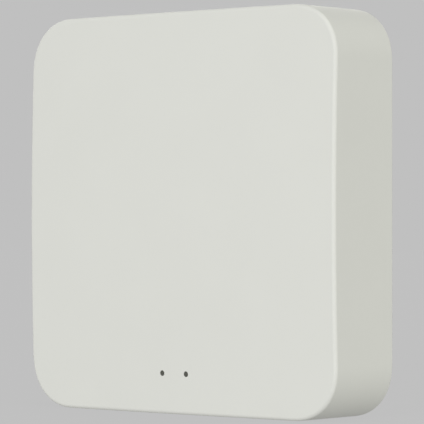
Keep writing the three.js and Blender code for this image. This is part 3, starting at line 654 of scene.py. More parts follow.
def make_front_cover():
    obj = as_object("front_shell", shell_shape())
    for x, z, radius, end_y in posts():
        join(obj, post(x, z, radius, end_y), rib(x, z, end_y - RIB_DROP))
    cut(obj, *[pilot_hole(x, z, end_y) for x, z, _, end_y in posts()], *indicator_holes())
    for shape in top_windows():
        cut(obj, shape)
    finish_piece(obj, CASING, "front_cover")


# ---------------- rear cover, feet and label

KEYHOLE_X = 20
KEYHOLE_Z = 8  # of its round entry, above the casing's middle
KEYHOLE_TRAVEL = 10
KEYHOLE_LIP = 1.2
POCKET_Y = 6.2
POCKET_RADIUS = 4.2
POCKET_OUTER_RADIUS = 5.2
FOOT_PAD_RADIUS = 5.6
LABEL_LOW, LABEL_HIGH = box_mm("rating_label")
LABEL_MIDDLE, LABEL_SIZE = (LABEL_LOW + LABEL_HIGH) / 2, LABEL_HIGH - LABEL_LOW


def pocket(x, radius, levels):
    """The pocket behind a keyhole, or the wall around it."""
    shape = prism(lambda grow: stadium(KEYHOLE_TRAVEL, radius + grow), levels)
    return along_y(shape, x, CENTRE_Z + KEYHOLE_Z + KEYHOLE_TRAVEL / 2)


def keyhole_mouth(x):
    levels = opening(COVER_INNER_Y - 1, COVER_OUTER_Y, 0.15)
    shape = prism(lambda grow: keyhole(4 + grow, 2.1 + grow, KEYHOLE_TRAVEL), levels)
    return along_y(shape, x, CENTRE_Z + KEYHOLE_Z)


def vents():
    """Cutters for two rows of upright cooling slots."""
    count, pitch, radius, length, row_offset = 9, 4.4, 0.8, 10, 33
    levels = opening(COVER_INNER_Y - 1, COVER_OUTER_Y, 0.15)
    shape = prism(lambda grow: stadium(length - 2 * radius, radius + grow), levels)
    for side in (-1, 1):
        for i in range(count):
            yield along_y(shape, (i - (count - 1) / 2) * pitch, CENTRE_Z + side * row_offset)


def foot_recess(x, z):
    """The foot's recess, the counterbore under it and the screw's hole, one inside the other."""
    yield along_y(rod(5.2, opening(FOOT_RECESS_Y, COVER_OUTER_Y, 0.12)), x, z)
    yield along_y(rod(2.8, [(0, HEAD_SEAT_Y), (0, FOOT_RECESS_Y + 0.1)]), x, z)
    yield along_y(rod(SCREW_BORE_RADIUS, [(0, COVER_LOW.y - 1), (0, HEAD_SEAT_Y + 0.1)], 32), x, z)


def label_slab(levels):
    """The label's outline through some levels, in its place on the cover."""
    return along_y(slab(LABEL_SIZE.x, LABEL_SIZE.z, 0.8, levels), *LABEL_MIDDLE.xz)


def make_rear_cover():
    edge = 0.15
    levels = [(0, COVER_INNER_Y), (0, COVER_OUTER_Y - edge), (edge, COVER_OUTER_Y)]
    obj = as_object("rear_panel", loft([flat_ring(COVER_INSET + inset, y) for inset, y in levels]))
    pad = rod(FOOT_PAD_RADIUS, [(-0.2, COVER_LOW.y), (0, COVER_LOW.y + 0.2), (0, COVER_INNER_Y + 0.5)])
    for side_x, side_z in SIDES:
        join(obj, along_y(pad, side_x * FOOT_OFFSET, CENTRE_Z + side_z * FOOT_OFFSET))
    wall_levels = [(-0.2, POCKET_Y - 0.8), (0, POCKET_Y - 0.6), (0, COVER_INNER_Y + 0.6)]
    for x in (-KEYHOLE_X, KEYHOLE_X):
        join(obj, pocket(x, POCKET_OUTER_RADIUS, wall_levels))
        cut(obj, pocket(x, POCKET_RADIUS, [(0, POCKET_Y), (0, COVER_OUTER_Y - KEYHOLE_LIP)]))
        cut(obj, keyhole_mouth(x))
    margin = 0.3
    recess = label_slab([(margin + grow, y) for grow, y in opening(LABEL_LOW.y, COVER_OUTER_Y, 0.08)])
    cut(obj, *vents(), recess)
    for side_x, side_z in SIDES:
        for shape in foot_recess(side_x * FOOT_OFFSET, CENTRE_Z + side_z * FOOT_OFFSET):
            cut(obj, shape)
    finish_piece(obj, CASING, "rear_cover")


def make_feet():
    """Rubber feet: a disc with a round edge and a shallow moulded ring."""
    edge, depth = 0.45, 0.15
    for corner in CORNER_NAMES:
        node = "foot_" + corner
        low, high = box_mm(node)
        radius = (high.x - low.x) / 2
        profile = [(0, low.y), (radius - 0.2, low.y), (radius, low.y + 0.2)]
        profile += arc((radius - edge, high.y - edge), edge, 0, 90)
        profile += [(3.6, high.y), (3.45, high.y - depth), (3.15, high.y - depth), (3.0, high.y), (0, high.y)]
        add_piece(node + "_pad", along_y(turned(profile, 64), *middle_mm(node).xz), RUBBER, node)


def make_label():
    """A blank sticker with a printed border and one dividing line."""
    sticker = label_slab([(0, LABEL_LOW.y + 0.01), (0, LABEL_HIGH.y - 0.02), (-0.02, LABEL_HIGH.y)])
    add_piece("label_sticker", sticker, LABEL, "rating_label")
    margin, line = 1.2, 0.3
    low, high = LABEL_HIGH.y - 0.005, LABEL_HIGH.y + 0.01
    border = as_object("label_border", label_slab([(-margin, low), (-margin, high)]))
    cut(border, label_slab([(-margin - line, low - 1), (-margin - line, high + 1)]))
    divider = slab(LABEL_SIZE.x - 2.6, line, 0.05, [(0, low), (0, high)], 1)
    join(border, along_y(divider, LABEL_MIDDLE.x, LABEL_MIDDLE.z - 3))
    finish_piece(border, LABEL_INK)


# ---------------- screws

HEAD_HEIGHT = 1.6


def screw_shape(seat, length):
    """A self-tapping screw that points down the axis, with a domed head."""
    pitch, outer, root, point = 0.9, 1.2, 0.88, 1.8
    steps, rings_per_turn = 24, 8
    tip = seat - length
    rings = []
    for i in range(int(length / pitch * rings_per_turn)):
        height = tip + 0.05 + i * pitch / rings_per_turn
        if height >= seat - 0.2:
            break
        taper = min(1, (height - tip) / point)
        ring = []
        for k, (u, v) in enumerate(circle(1, steps)):
            phase = (height / pitch - k / steps) % 1
            crest = max(0, 1 - abs(phase - 0.5) * 4)
            radius = (root + (outer - root) * crest) * taper
            ring.append((u * radius, v * radius, height))
        rings.append(ring)
    head = [(1.0, seat - 0.15), (1.15, seat), (2.25, seat), (2.4, seat + 0.15), (2.4, seat + 0.7)]
    head += arc((1.5, seat + 0.7), 0.9, 0, 90, 6)
    rings += [[(u, v, height) for u, v in circle(radius, steps)] for radius, height in head]
    return loft(rings, (0, 0, tip), (0, 0, seat + HEAD_HEIGHT))


def cross_recess(top):
    """A cutter for a cross in a screw's head, narrower as it goes down."""
    def cross(grow):
        arm, half = 1.15 + grow, 0.24 + grow / 3
        points = [(arm, -half), (arm, half), (half, half)]
        for i in range(9):
            u, v = points[i]
            points.append((-v, u))
        return points
    return prism(cross, [(-0.7, top - 1.05), (-0.45, top - 0.9), (0.1, top + 0.5)])


def make_screws():
    for kind, seat, length in (("case", HEAD_SEAT_Y, 10), ("board", BOARD_HIGH.y, 8)):
        for corner in CORNER_NAMES:
            node = f"{kind}_screw_{corner}"
            place = middle_mm(node).xz
            obj = as_object(node + "_threaded", along_y(screw_shape(seat + GAP, length), *place))
            cut(obj, along_y(cross_recess(seat + GAP + HEAD_HEIGHT), *place))
            finish_piece(obj, STEEL, node, sharp=50)


# ---------------- board and chips

BOARD_NOTCH = 28.5  # the board's corners are left out beyond this
PEG_X = 5.7  # of the jack's two pegs, from its middle
PEG_Z = TOP_Z - 9.4
PEG_RADIUS = 1.5
PEG_HOLE_RADIUS = 1.65


def make_main_board():
    side, notch = BOARD_HIGH.x, BOARD_NOTCH
    low, high = BOARD_LOW.z - CENTRE_Z, BOARD_HIGH.z - CENTRE_Z
    corners = [
        (-notch, low), (notch, low), (notch, -notch), (side, -notch), (side, notch), (notch, notch),
        (notch, high), (-notch, high), (-notch, notch), (-side, notch), (-side, -notch), (-notch, -notch),
    ]
    outline = rounded_polygon(corners, 0.8)
    levels = [(0, BOARD_LOW.y), (0, BOARD_HIGH.y)]
    obj = as_object("circuit_board", along_y(prism(lambda grow: outline, levels), 0, CENTRE_Z))
    drill = [(0, BOARD_LOW.y - 1), (0, BOARD_HIGH.y + 1)]
    peg_hole = rod(PEG_HOLE_RADIUS, drill, 32)
    cut(obj, at_corners(rod(SCREW_BORE_RADIUS, drill, 32), POST_X, POST_Z))
    cut(obj, *[along_y(peg_hole, JACK.x + side * PEG_X, PEG_Z) for side in (-1, 1)])
    finish_piece(obj, BOARD_GREEN, "main_board")


def gull_wing(start, reach, width, leave):
    """A lead that leaves a package, bends down and lies on its pad."""
    path = [(start - 0.2, leave), (start + 0.2, leave), (start + 0.32, leave - 0.08)]
    path += [(reach - 0.45, 0.18), (reach - 0.33, 0.1), (reach, 0.1)]
    return strip(path, width, 0.1)


def package(width, height, top, low=0.1):
    """A moulded package: two drafted halves that meet at a fine line."""
    middle = (low + top) / 2
    levels = [(-0.16, low), (-0.08, low + 0.06), (0, middle - 0.03)]
    levels += [(0, middle + 0.03), (-0.1, top - 0.05), (-0.15, top)]
    return slab(width, height, 0.2, levels, 2)


def make_chip(node, width, height, top, sides, count, pitch, lead_width, dimple=0.5):
    """A chip with a dimple at its first lead, and its leads on two or four sides."""
    place, size = middle_mm(node).xz, size_mm(node)
    obj = as_object(node + "_package", on_board(package(width, height, top), *place))
    bowl = [(0, top - 0.08), (dimple * 0.7, top - 0.06), (dimple, top + 0.02)]
    bowl += [(dimple, top + 1), (0, top + 1)]
    cut(obj, on_board(moved(turned(bowl, 24), -width / 2 + 1.5, height / 2 - 1.5), *place))
    finish_piece(obj, EPOXY, node)
    leads = []
    for side in sides:
        body, reach = (height, size.z) if side % 2 else (width, size.x)
        lead = gull_wing(body / 2, reach / 2, lead_width, top / 2)
        leads.append(spun(row(lead, count, pitch), side * TURN / 4))
    add_piece(node + "_leads", on_board(merged(leads), *place), TIN)


def make_regulator():
    """Three leads on one side, and a wide tab on the other."""
    place = middle_mm("voltage_regulator").xz
    width, depth, top, reach = 6.5, 3.5, 1.7, 3.5
    add_piece("regulator_package", on_board(package(width, depth, top), *place), EPOXY, "voltage_regulator")
    legs = spun(row(gull_wing(depth / 2, reach, 0.7, 0.8), 3, 2.3), -TURN / 4)
    tab = spun(gull_wing(depth / 2, reach, 3, 0.8), TURN / 4)
    add_piece("regulator_leads", on_board(merged([legs, tab]), *place), TIN)


def make_crystal():
    """A pressed can with a rounded top, on its flange."""
    place = middle_mm("crystal").xz
    flange = slab(11.2, 4.7, 2.2, [(-0.08, 0.05), (0, 0.15), (0, 0.7), (-0.1, 0.8)], 8)
    can = prism(
        lambda grow: rounded_rectangle(10.2 + 2 * grow, 3.8 + 2 * grow, 1.8 + grow, 8),
        [(0, 0.5), *arc((-0.5, 3.0), 0.5, 0, 90)],
    )
    obj = as_object("crystal_can", on_board(flange, *place))
    join(obj, on_board(can, *place))
    finish_piece(obj, TIN, "crystal")


def clipped_block(corners, levels):
    """A block about 6 mm wide with clipped corners."""
    def outline(grow):
        scale = 1 + grow / 3
        return [(u * scale, v * scale) for u, v in rounded_polygon(corners, 0.3, 3)]
    return prism(outline, levels)


def make_inductor(node):
    """A ferrite drum in a clipped square, with a tinned terminal at each end."""
    place = middle_mm(node).xz
    corners = [(-3, -1.8), (-1.8, -3), (1.8, -3), (3, -1.8), (3, 1.8), (1.8, 3), (-1.8, 3), (-3, 1.8)]
    body = clipped_block(corners, [(-0.1, 0.1), (0, 0.2), (0, 2.5), (-0.2, 2.7)])
    rim = arc((2.15, 2.85), 0.15, 0, 90, 3)
    top = turned([(0, 2.4), (2.3, 2.4), (2.3, 2.85), *rim, (1.7, 3), (1.6, 2.9), (0, 2.9)])
    obj = as_object(node + "_core", on_board(body, *place))
    join(obj, on_board(top, *place))
    finish_piece(obj, FERRITE, node)
    clip = strip([(2.2, 0.06), (3.02, 0.06), (3.1, 0.15), (3.1, 1.4)], 2.4, 0.1)
    add_piece(node + "_terminals", on_board(merged([clip, spun(clip, TURN / 2)]), *place), TIN)


def make_capacitor(node):
    """An aluminium can with a rolled groove and a scored top, on a moulded base with two clipped corners."""
    place = middle_mm(node).xz
    radius, shoulder, top = 3.15, 7.3, 7.62
    profile = [(0, 0.85), (3.1, 0.85), (radius, 1.0), (radius, 1.7)]
    profile += [*arc((3.2, 2.1), 0.3, 235, 125), (radius, 2.5), (radius, shoulder)]
    profile += [*arc((radius - 0.4, shoulder), 0.4, 0, 90), (2.5, top), (0, top)]
    obj = as_object(node + "_can", on_board(turned(profile), *place))
    for turn in (TURN / 8, TURN * 3 / 8):
        cut(obj, on_board(spun(block(4.2, 0.14, top - 0.08, 8, 0.05, 0.02), turn), *place))
    finish_piece(obj, ALUMINIUM, node)
    corners = [(-3.3, -3.3), (3.3, -3.3), (3.3, 2.0), (2.0, 3.3), (-2.0, 3.3), (-3.3, 2.0)]
    base = clipped_block(corners, [(-0.1, 0.05), (0, 0.15), (0, 0.9), (-0.15, 1.05)])
    add_piece(node + "_base", on_board(base, *place), BLACK_PLASTIC)


def make_indicator_led(node):
    """A white package with a round well, and a yellow lens in it."""
    place = middle_mm(node).xz
    top = 1.65
    obj = as_object(node + "_body", on_board(package(3.4, 2.7, top, GAP), *place))
    cut(obj, on_board(turned([(0, 1.0), (0.95, 1.0), (1.15, top + 0.1), (0, top + 0.1)]), *place))
    finish_piece(obj, WHITE_PLASTIC, node)
    dome = turned([(0, 1.02), (0.93, 1.02), (1.08, 1.6), (0.8, 1.78), (0.4, 1.84), (0, 1.85)])
    add_piece(node + "_lens", on_board(dome, *place), PHOSPHOR)


RADIO = middle_mm("radio_board").xz


def make_radio_board():
    """The radio module's own board, with half holes along two edges."""
    size = size_mm("radio_board")
    obj = as_object("radio_module_board", on_board(block(size.x, size.z, GAP, 0.8, 0.1, 0.02), *RADIO))
    notch = rod(0.4, [(0, -1), (0, 2)], 16)
    pitch, first = 1.9, 7 - size.x / 2
    rows = [moved(notch, first + i * pitch, side * size.z / 2) for i in range(7) for side in (-1, 1)]
    cut(obj, on_board(merged(rows), *RADIO))
    finish_piece(obj, RADIO_GREEN, "radio_board")


def make_radio_antenna():
    """A copper line folded to and fro at one end of the radio board."""
    start, step, reach, line = -9.2, 0.85, 5.6, 0.35
    corners = []
    for i in range(6):
        v = reach if i % 2 else -reach
        corners += [(start + i * step, v), (start + (i + 1) * step, v)]
    bars = []
    for (u0, v0), (u1, v1) in zip(corners, corners[1:]):
        bar = block(abs(u1 - u0) + line, abs(v1 - v0) + line, 0.79, 0.84, 0.1, 0.01)
        bars.append(moved(bar, (u0 + u1) / 2, (v0 + v1) / 2))
    add_piece("radio_antenna", on_board(merged(bars), *RADIO), GOLD)


def make_radio_shield():
    """A pressed can over the radio's circuits, with a square of round dimples."""
    place, size = middle_mm("radio_shield").xz, size_mm("radio_shield")
    can = slab(size.x, size.z, 0.6, [(0, 0.85), *arc((-0.3, 2.5), 0.3, 0, 90, 4)], 4)
    obj = as_object("radio_shield_can", on_board(can, *place))
    dimple = turned([(0, 2.6), (0.45, 2.6), (0.5, 2.85), (0, 2.85)], 16)
    count, pitch = 4, 2.6
    shifts = [(i - (count - 1) / 2) * pitch for i in range(count)]
    cut(obj, on_board(merged([moved(dimple, u, v) for u in shifts for v in shifts]), *place))
    finish_piece(obj, TIN, "radio_shield")


def make_small_parts():
    """Rows of tiny two-ended parts near the chips, drawn as ceramic bodies and tinned ends."""
    pitch, length = 2.2, 1.0
    rows = [  # where each row starts, from the board's middle, and how many stand in it
        (-14, -11.2, 9), (9.5, -8.4, 9), (3.5, 19.4, 10), (-12, 10.2, 3), (-4.4, -30.2, 5), (31.5, -6, 1),
        (-12, -17, 3),
    ]
    bodies, ends = [], []
    dice = random.Random(7)
    for start, z, count in rows:
        for i in range(count):
            x = start + i * pitch
            tall = 0.45 + 0.3 * dice.random()
            bodies.append(moved(block(0.8, length, 0.06, tall, 0.08, 0.04), x, z))
            for side in (-1, 1):
                end = block(0.84, 0.3, 0.05, tall + 0.02, 0.06, 0.04)
                ends.append(moved(end, x, z + side * 0.64))
    add_piece("chip_resistors", on_board(merged(bodies), 0, CENTRE_Z), CERAMIC)
    add_piece("chip_resistor_ends", on_board(merged(ends), 0, CENTRE_Z), TIN)


def make_pads():
    """Tinned rings round the screw holes, and the solder cones of the pins that come through the board."""
    proud, sunk = 0.03, 0.02
    front_disc = rod(2.9, [(0, BOARD_LOW.y - proud), (0, BOARD_LOW.y + sunk)])
    back_disc = rod(2.9, [(0, BOARD_HIGH.y - sunk), (0, BOARD_HIGH.y + proud)])
    hole = rod(1.7, [(0, BOARD_LOW.y - 1), (0, BOARD_HIGH.y + 1)])
    profile = [(0, -0.02), (0.75, -0.02), (0.6, 0.15), (0.4, 0.5), (0.34, 0.9), (0.2, 1.02), (0, 1.02)]
    cone = turned(profile, 20)
    pins = [(JACK.x + (i - 3.5) * 1.27, 73.5 + (i % 2) * 2.54) for i in range(8)]
    for middle_x, offset, z in (JACK.x, 7.6, 78.6), (USB.x, 3.6, 84.6), (BUTTON.x, 2.3, 76.5):
        pins += [(middle_x - offset, z), (middle_x + offset, z)]
    cones = [along_y(moved(cone, h=BOARD_HIGH.y), *pin) for pin in pins]
    discs = at_corners(merged([front_disc, back_disc]), POST_X, POST_Z)
    obj = as_object("board_pads_and_solder", merged([discs, *cones]))
    cut(obj, at_corners(hole, POST_X, POST_Z))
    finish_piece(obj, TIN)


# ---------------- sockets

PLUG_WIDTH = 11.8
PLUG_LOW_Y = BOARD_Y - 2.9
PLUG_HIGH_Y = BOARD_Y - 9.7
PLUG_Y = (PLUG_LOW_Y + PLUG_HIGH_Y) / 2
PLUG_FLOOR_Z = JACK_HIGH.z - 14.2
LATCH_WIDTH = 6.2
LATCH_Y = BOARD_Y - 1.3
JACK_SHEET = 0.3
CONTACTS = 8
CONTACT_PITCH = 1.02
USB_SHEET = 0.25


def plug_way(low_z, high_z, grow=0.0):
    """The way in for a plug and its latch."""
    plug = block(PLUG_WIDTH + 2 * grow, PLUG_LOW_Y - PLUG_HIGH_Y + 2 * grow, low_z, high_z, 0.1, 0.001)
    latch = block(LATCH_WIDTH + 2 * grow, LATCH_Y - PLUG_LOW_Y + 1 + 2 * grow, low_z, high_z, 0.1, 0.001)
    yield along_z(plug, JACK.x, PLUG_Y)
    yield along_z(latch, JACK.x, (LATCH_Y + PLUG_LOW_Y - 1) / 2)


def make_jack_shield():
    """A folded sheet round the jack, open towards the board, with four spring fingers at its mouth."""
    outside = block(JACK_SIZE.x, JACK_SIZE.y, JACK_LOW.z, JACK_HIGH.z, 0.35, 0.12)
    width, depth = JACK_SIZE.x - 2 * JACK_SHEET, JACK_SIZE.y - JACK_SHEET + 1
    inside = block(width, depth, JACK_LOW.z + JACK_SHEET, JACK_HIGH.z - JACK_SHEET, 0.2, 0.001)
    obj = as_object("jack_shield", along_z(outside, *JACK.xy))
    cut(obj, along_z(inside, JACK.x, JACK.y + JACK_SHEET / 2 + 0.5))
    for way in plug_way(JACK_HIGH.z - 1, JACK_HIGH.z + 1, 0.05):
        cut(obj, way)
    finger = strip([(0.0, -5.2), (0.1, -4.2), (0.24, -2.6), (0.2, -1.2), (0.0, -0.6)], 2.0, 0.12)
    for side in (-1, 1):
        for y in (-2.6, 2.6):
            root = Vector((JACK.x + side * JACK_SIZE.x / 2, JACK.y + y, JACK_HIGH.z))
            join(obj, placed(finger, root, X * side, Y, Z))
    finish_piece(obj, TIN, "ethernet_shield")


def make_jack_insert():
    """The moulded block in the shield, with its pegs, the way in for a plug and a comb for the contacts."""
    low, high = box_mm("ethernet_insert")
    inner_y = BOARD_Y - GAP
    body = block(high.x - low.x, inner_y - low.y, low.z, high.z, 0.2, 0.1)
    obj = as_object("jack_insert", along_z(body, JACK.x, (inner_y + low.y) / 2))
    peg = rod(PEG_RADIUS, [(0, BOARD_Y - 1), (0, high.y - 0.3), (-0.3, high.y)], 32)
    for side in (-1, 1):
        join(obj, along_y(peg, JACK.x + side * PEG_X, PEG_Z))
    for way in plug_way(PLUG_FLOOR_Z, JACK_HIGH.z + 1):
        cut(obj, way)
    slot = block(0.55, 0.8, PLUG_FLOOR_Z + 1.2, JACK_HIGH.z - 3.2, 0.1, 0.05)
    places = [JACK.x + (i - (CONTACTS - 1) / 2) * CONTACT_PITCH for i in range(CONTACTS)]
    cut(obj, *[along_z(slot, x, PLUG_HIGH_Y - 0.2) for x in places])
    finish_piece(obj, BLACK_PLASTIC, "ethernet_insert")


def make_jack_contacts():
    """Gold wires that spring up from a carrier at the floor of the jack."""
    path = [(-8.1, 0.6), (-7.9, 1.6), (-7.75, 3.2), (-8.2, 5.4), (-8.9, 7.8), (-9.3, 9.6), (-9.42, 10.4)]
    wire = strip([(y, PLUG_FLOOR_Z + z) for y, z in path], 0.36, 0.3)
    wires = placed(row(wire, CONTACTS, CONTACT_PITCH), Vector((JACK.x, BOARD_Y - 0.1, 0)), Y, X, Z)
    obj = as_object("jack_contacts", wires)
    carrier = block(PLUG_WIDTH - 0.4, 6.4, PLUG_FLOOR_Z + GAP, PLUG_FLOOR_Z + 1.2, 0.2, 0.1)
    join(obj, along_z(carrier, JACK.x, PLUG_Y))
    finish_piece(obj, GOLD, "ethernet_contacts")


def socket_outline(inset):
    """A micro power socket: wide next to the board, with its outer corners clipped."""
    half, half_depth = USB_SIZE.x / 2 - inset, USB_SIZE.y / 2 - inset
    clip = 0.9
    corners = [
        (-half + clip, -half_depth), (half - clip, -half_depth), (half, -half_depth + clip),
        (half, half_depth), (-half, half_depth), (-half, -half_depth + clip),
    ]
    return rounded_polygon(corners, 0.3)


def make_power_shell():
    """A drawn shell that flares at its mouth, with two slots for a plug's latches."""
    low, high = USB_LOW.z, USB_HIGH.z
    outside = prism(socket_outline, [(0, low), (0, high - 0.7), (-0.04, high - 0.35), (-0.13, high)])
    inside_levels = [(0, low - 1), (0, high - 0.7), (-0.05, high - 0.35), (-0.16, high), (-0.16, high + 1)]
    inside = prism(socket_outline, [(USB_SHEET + inset, z) for inset, z in inside_levels])
    obj = as_object("socket_shell", along_z(outside, *USB.xy))
    cut(obj, along_z(inside, *USB.xy))
    slot = block(1.0, 1.2, high - 4.2, high - 1.8, 0.2, 0.01)
    for side in (-1, 1):
        cut(obj, along_z(slot, USB.x + side * 1.9, USB_LOW.y))
    finish_piece(obj, TIN, "usb_socket_shell")


def make_power_tongue():
    """The block at the socket's floor, its tongue and the contacts on it."""
    low, high = USB_LOW.z, USB_HIGH.z
    tongue_y = BOARD_Y - 1.3
    levels = [(0.05, low), (0, low + 0.1), (0, low + 1.1), (0.05, low + 1.2)]
    body = prism(socket_outline, [(USB_SHEET + GAP + inset, z) for inset, z in levels])
    obj = as_object("socket_tongue", along_z(body, *USB.xy))
    join(obj, along_z(block(3.8, 0.6, low + 1, high - 0.8, 0.1, 0.15), USB.x, tongue_y))
    finish_piece(obj, BLACK_PLASTIC, "usb_socket_tongue")
    contact = block(0.36, 0.1, low + 1.3, high - 1.1, 0.03, 0.02)
    contacts = [along_z(contact, USB.x + (i - 2) * 0.65, tongue_y + 0.32) for i in range(5)]
    add_piece("socket_contacts", merged(contacts), GOLD)


# ---------------- reset button and its switch

SWITCH_BORE_RADIUS = 1.85


def make_button():
    """The cap: a stem, a flange that keeps it in, and a head with a shallow round dish."""
    low, high = box_mm("reset_button")
    radius, flange, stem, edge, soft = 2.45, (high.x - low.x) / 2, 1.4, 0.3, 0.1
    flange_low, flange_high = high.z - 2.8, high.z - 2.0
    profile = [(0, low.z), (stem - 0.2, low.z), (stem, low.z + 0.2)]
    profile += [(stem, flange_low - 0.2), (stem + 0.2, flange_low), (flange - soft, flange_low)]
    profile += [(flange, flange_low + soft), (flange, flange_high - soft), (flange - soft, flange_high)]
    profile += [(radius, flange_high), *arc((radius - edge, high.z - edge), edge, 0, 90)]
    rim, dish, steps = radius - edge - 0.1, 0.22, 6
    for i in range(steps + 1):
        inwards = 1 - i / steps
        profile.append((rim * inwards, high.z - dish * (1 - inwards ** 2)))
    cap = along_z(turned(profile, 64), *BUTTON.xy)
    add_piece("reset_cap", cap, CASING, "reset_button", body="reset_button")


def make_switch_body():
    low, high = box_mm("switch_body")
    housing = block(high.x - low.x, high.y - low.y, low.z, high.z, 0.3, 0.12)
    obj = as_object("switch_housing", along_z(housing, *((low + high) / 2).xy))
    cut(obj, along_z(rod(SWITCH_BORE_RADIUS, opening(high.z - 2.1, high.z, 0.1), 40), *BUTTON.xy))
    finish_piece(obj, BLACK_PLASTIC, "switch_body")


def make_switch_frame():
    """A folded sheet over the switch: a plate with a hole, and two legs."""
    low, high = box_mm("switch_frame")
    middle, width = (low + high) / 2, high.x - low.x
    sheet, leg_depth = 0.3, 5.6
    plate = block(width, high.y - low.y, high.z - sheet, high.z, 0.3, 0.04)
    obj = as_object("switch_plate", along_z(plate, *middle.xy))
    leg = block(sheet, leg_depth, low.z, high.z - 0.1, 0.05, 0.05)
    for side in (-1, 1):
        join(obj, along_z(leg, middle.x + side * (width - sheet) / 2, high.y - leg_depth / 2))
    cut(obj, along_z(rod(SWITCH_BORE_RADIUS, opening(high.z - 1, high.z, 0.06), 40), *BUTTON.xy))
    finish_piece(obj, TIN, "switch_frame")


def make_switch_plunger():
    low, high = box_mm("switch_plunger")
    radius, edge = (high.x - low.x) / 2, 0.3
    profile = [(0, low.z), (radius, low.z), *arc((radius - edge, high.z - edge), edge, 0, 90), (0, high.z)]
    pin = along_z(turned(profile), *BUTTON.xy)
    add_piece("switch_pin", pin, BLACK_PLASTIC, "switch_plunger", body="switch_plunger")


# ---------------- light guide and its shroud

TIP_RISE = 0.07  # brings the guide's tips nearly level with the face


def make_light_guide():
    """Two rods on a bridge. Each rod narrows to a tip that fills its hole in the face."""
    low, high = box_mm("light_guide")
    tip, neck, shaft, edge = 0.6, 0.54, 1.3, 0.15
    front_y, step_y = low.y - TIP_RISE, low.y + FRONT_WALL + 0.05
    profile = [(0, front_y), (neck, front_y), (tip, front_y + 0.06), (tip, front_y + 0.25)]
    profile += [(neck, front_y + 0.4), (neck, step_y), (shaft - edge, step_y), (shaft, step_y + edge)]
    profile += [(shaft, high.y - edge), (shaft - edge, high.y), (0, high.y)]
    bridge = slab(high.x - low.x, 3, 1.3, [(-0.15, -7.6), (0, -7.45), (0, -6.55), (-0.15, -6.4)], 8)
    obj = as_object("indicator_guide", along_y(bridge, *((low + high) / 2).xz))
    join(obj, *[along_y(turned(profile, 40), *led.xz) for led in LED_MIDDLES])
    # The guide's dark colour is partly painted shade of the holes that its tips fill.
    finish_piece(obj, SMOKE_AND_PAINTED_SHADE, "light_guide")


def make_light_shroud():
    """A black block with a round bore and a nook for each light."""
    low, high = box_mm("light_shroud")
    levels = [(-0.15, low.y), (0, low.y + 0.15), (0, high.y - 0.1), (-0.1, high.y)]
    body = slab(high.x - low.x, high.z - low.z, 0.8, levels)
    obj = as_object("indicator_shroud", along_y(body, *((low + high) / 2).xz))
    bore = rod(1.5, opening(high.y, low.y, 0.15), 40)
    nook = slab(4, 3.4, 0.3, [(0, high.y - 2.25), (0, high.y + 1)], 3)
    for led in LED_MIDDLES:
        cut(obj, along_y(bore, *led.xz))
        cut(obj, along_y(nook, *led.xz))
    finish_piece(obj, BLACK_PLASTIC, "light_shroud")


# ---------------- stage, light and camera

BACKGROUND = 0.527  # the even grey of floor and surroundings
FLOOR_TONE = 0.03
FLOOR_LIGHT = 0.82  # how bright the suns and the surroundings would make a white floor
FLOOR_RADIUS = 4  # metres

AZIMUTH = math.radians(40.42)  # of the camera, from the front towards the right
LOOK_UP = math.radians(0.26)
CAMERA_DISTANCE = 618.9
CAMERA_ASIDE = 1.83
CAMERA_RAISED = 0.22
LENS = 232.4


def make_camera():
    """A long lens about level with the object's middle, to the right of its front."""
    camera = in_scene("camera", bpy.data.cameras.new("camera"))
    camera.data.sensor_width = 36
    camera.data.lens = LENS
    camera.data.clip_start = 0.01
    right = Vector((math.cos(AZIMUTH), math.sin(AZIMUTH), 0))
    level = Vector((-math.sin(AZIMUTH), math.cos(AZIMUTH), 0))
    forward = level * math.cos(LOOK_UP) + Z * math.sin(LOOK_UP)
    up = right.cross(forward)
    centre = Vector((0, (FRONT_Y + BACK_Y) / 2, CENTRE_Z))
    camera.location = (centre - forward * CAMERA_DISTANCE + right * CAMERA_ASIDE + up * CAMERA_RAISED) * MM
    camera.rotation_euler = Matrix((right, up, -forward)).transposed().to_euler()
    bpy.context.scene.camera = camera


def make_sun(name, azimuth, elevation, strength, angle, color):
    """A distant light, softer the wider its angle. Azimuth 0 is in front of the hub, and 90 on its right."""
    light = bpy.data.lights.new(name, "SUN")
    light.energy = strength
    light.angle = math.radians(angle)
    light.color = color
    turn, rise = math.radians(azimuth), math.radians(elevation)
    towards = Vector((math.sin(turn) * math.cos(rise), -math.cos(turn) * math.cos(rise), math.sin(rise)))
    in_scene(name, light).rotation_euler = towards.to_track_quat("Z", "Y").to_euler()


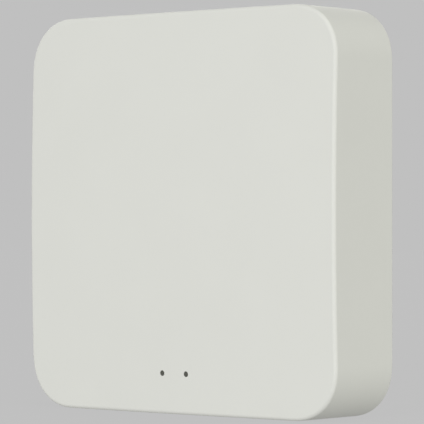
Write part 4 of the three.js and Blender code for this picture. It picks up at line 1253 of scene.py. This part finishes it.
def make_light():
    """An even grey surround and four suns. The key lights the front, and the fill the right side."""
    world = bpy.data.worlds.new("studio")
    world.use_nodes = True
    backdrop = world.node_tree.nodes["Background"]
    backdrop.inputs["Color"].default_value = (BACKGROUND, BACKGROUND, BACKGROUND, 1)
    bpy.context.scene.world = world
    make_sun("key", 19, 9, 1.95, 18, (0.997, 1.0, 1.03))
    make_sun("fill", 111, 11, 0.75, 20, (1.0, 1.0, 0.93))
    make_sun("top", 30, 50, 0.4, 60, (1.0, 1.0, 0.98))
    make_sun("back", 235, 15, 1.3, 60, (1.0, 1.0, 0.98))
    bpy.context.scene.view_settings.view_transform = "Standard"


def make_floor():
    """A wide pale floor, lit from within like a light table, so that it only takes a faint shadow."""
    tone = (FLOOR_TONE, FLOOR_TONE, FLOOR_TONE)
    material, tree, shader = new_material("floor_panel", tone, 1.0)
    shader.inputs["Specular IOR Level"].default_value = 0
    shader.inputs["Emission Color"].default_value = (1, 1, 1, 1)
    shader.inputs["Emission Strength"].default_value = BACKGROUND - FLOOR_LIGHT * FLOOR_TONE
    vary_color(tree, shader, tone, 0.02, 60)
    mesh = bpy.data.meshes.new("floor")
    outline = circle(FLOOR_RADIUS, 96)
    mesh.from_pydata([(x, y, 0) for x, y in outline], [], [list(range(len(outline)))])
    mesh.materials.append(material)
    in_scene("floor", mesh)


# ---------------- assembly

make_camera()
make_light()
make_floor()
make_front_cover()
make_rear_cover()
make_feet()
make_label()
make_screws()
make_main_board()
make_chip("main_processor", 14, 14, 1.5, (0, 1, 2, 3), 22, 0.6, 0.26)
make_chip("memory_chip", 22.2, 10.2, 1.1, (1, 3), 27, 0.8, 0.32)
make_chip("flash_chip", 5, 4, 1.7, (1, 3), 4, 1.27, 0.42, dimple=0.3)
make_chip("network_transformer", 12.7, 9.6, 5.6, (0, 2), 8, 1.1, 0.5)
make_regulator()
make_crystal()
make_inductor("power_inductor_input")
make_inductor("power_inductor_core")
make_capacitor("input_capacitor")
make_capacitor("output_capacitor")
make_indicator_led("network_led")
make_indicator_led("radio_led")
make_radio_board()
make_radio_antenna()
make_radio_shield()
make_small_parts()
make_pads()
make_jack_shield()
make_jack_insert()
make_jack_contacts()
make_power_shell()
make_power_tongue()
make_button()
make_switch_body()
make_switch_frame()
make_switch_plunger()
make_light_guide()
make_light_shroud()
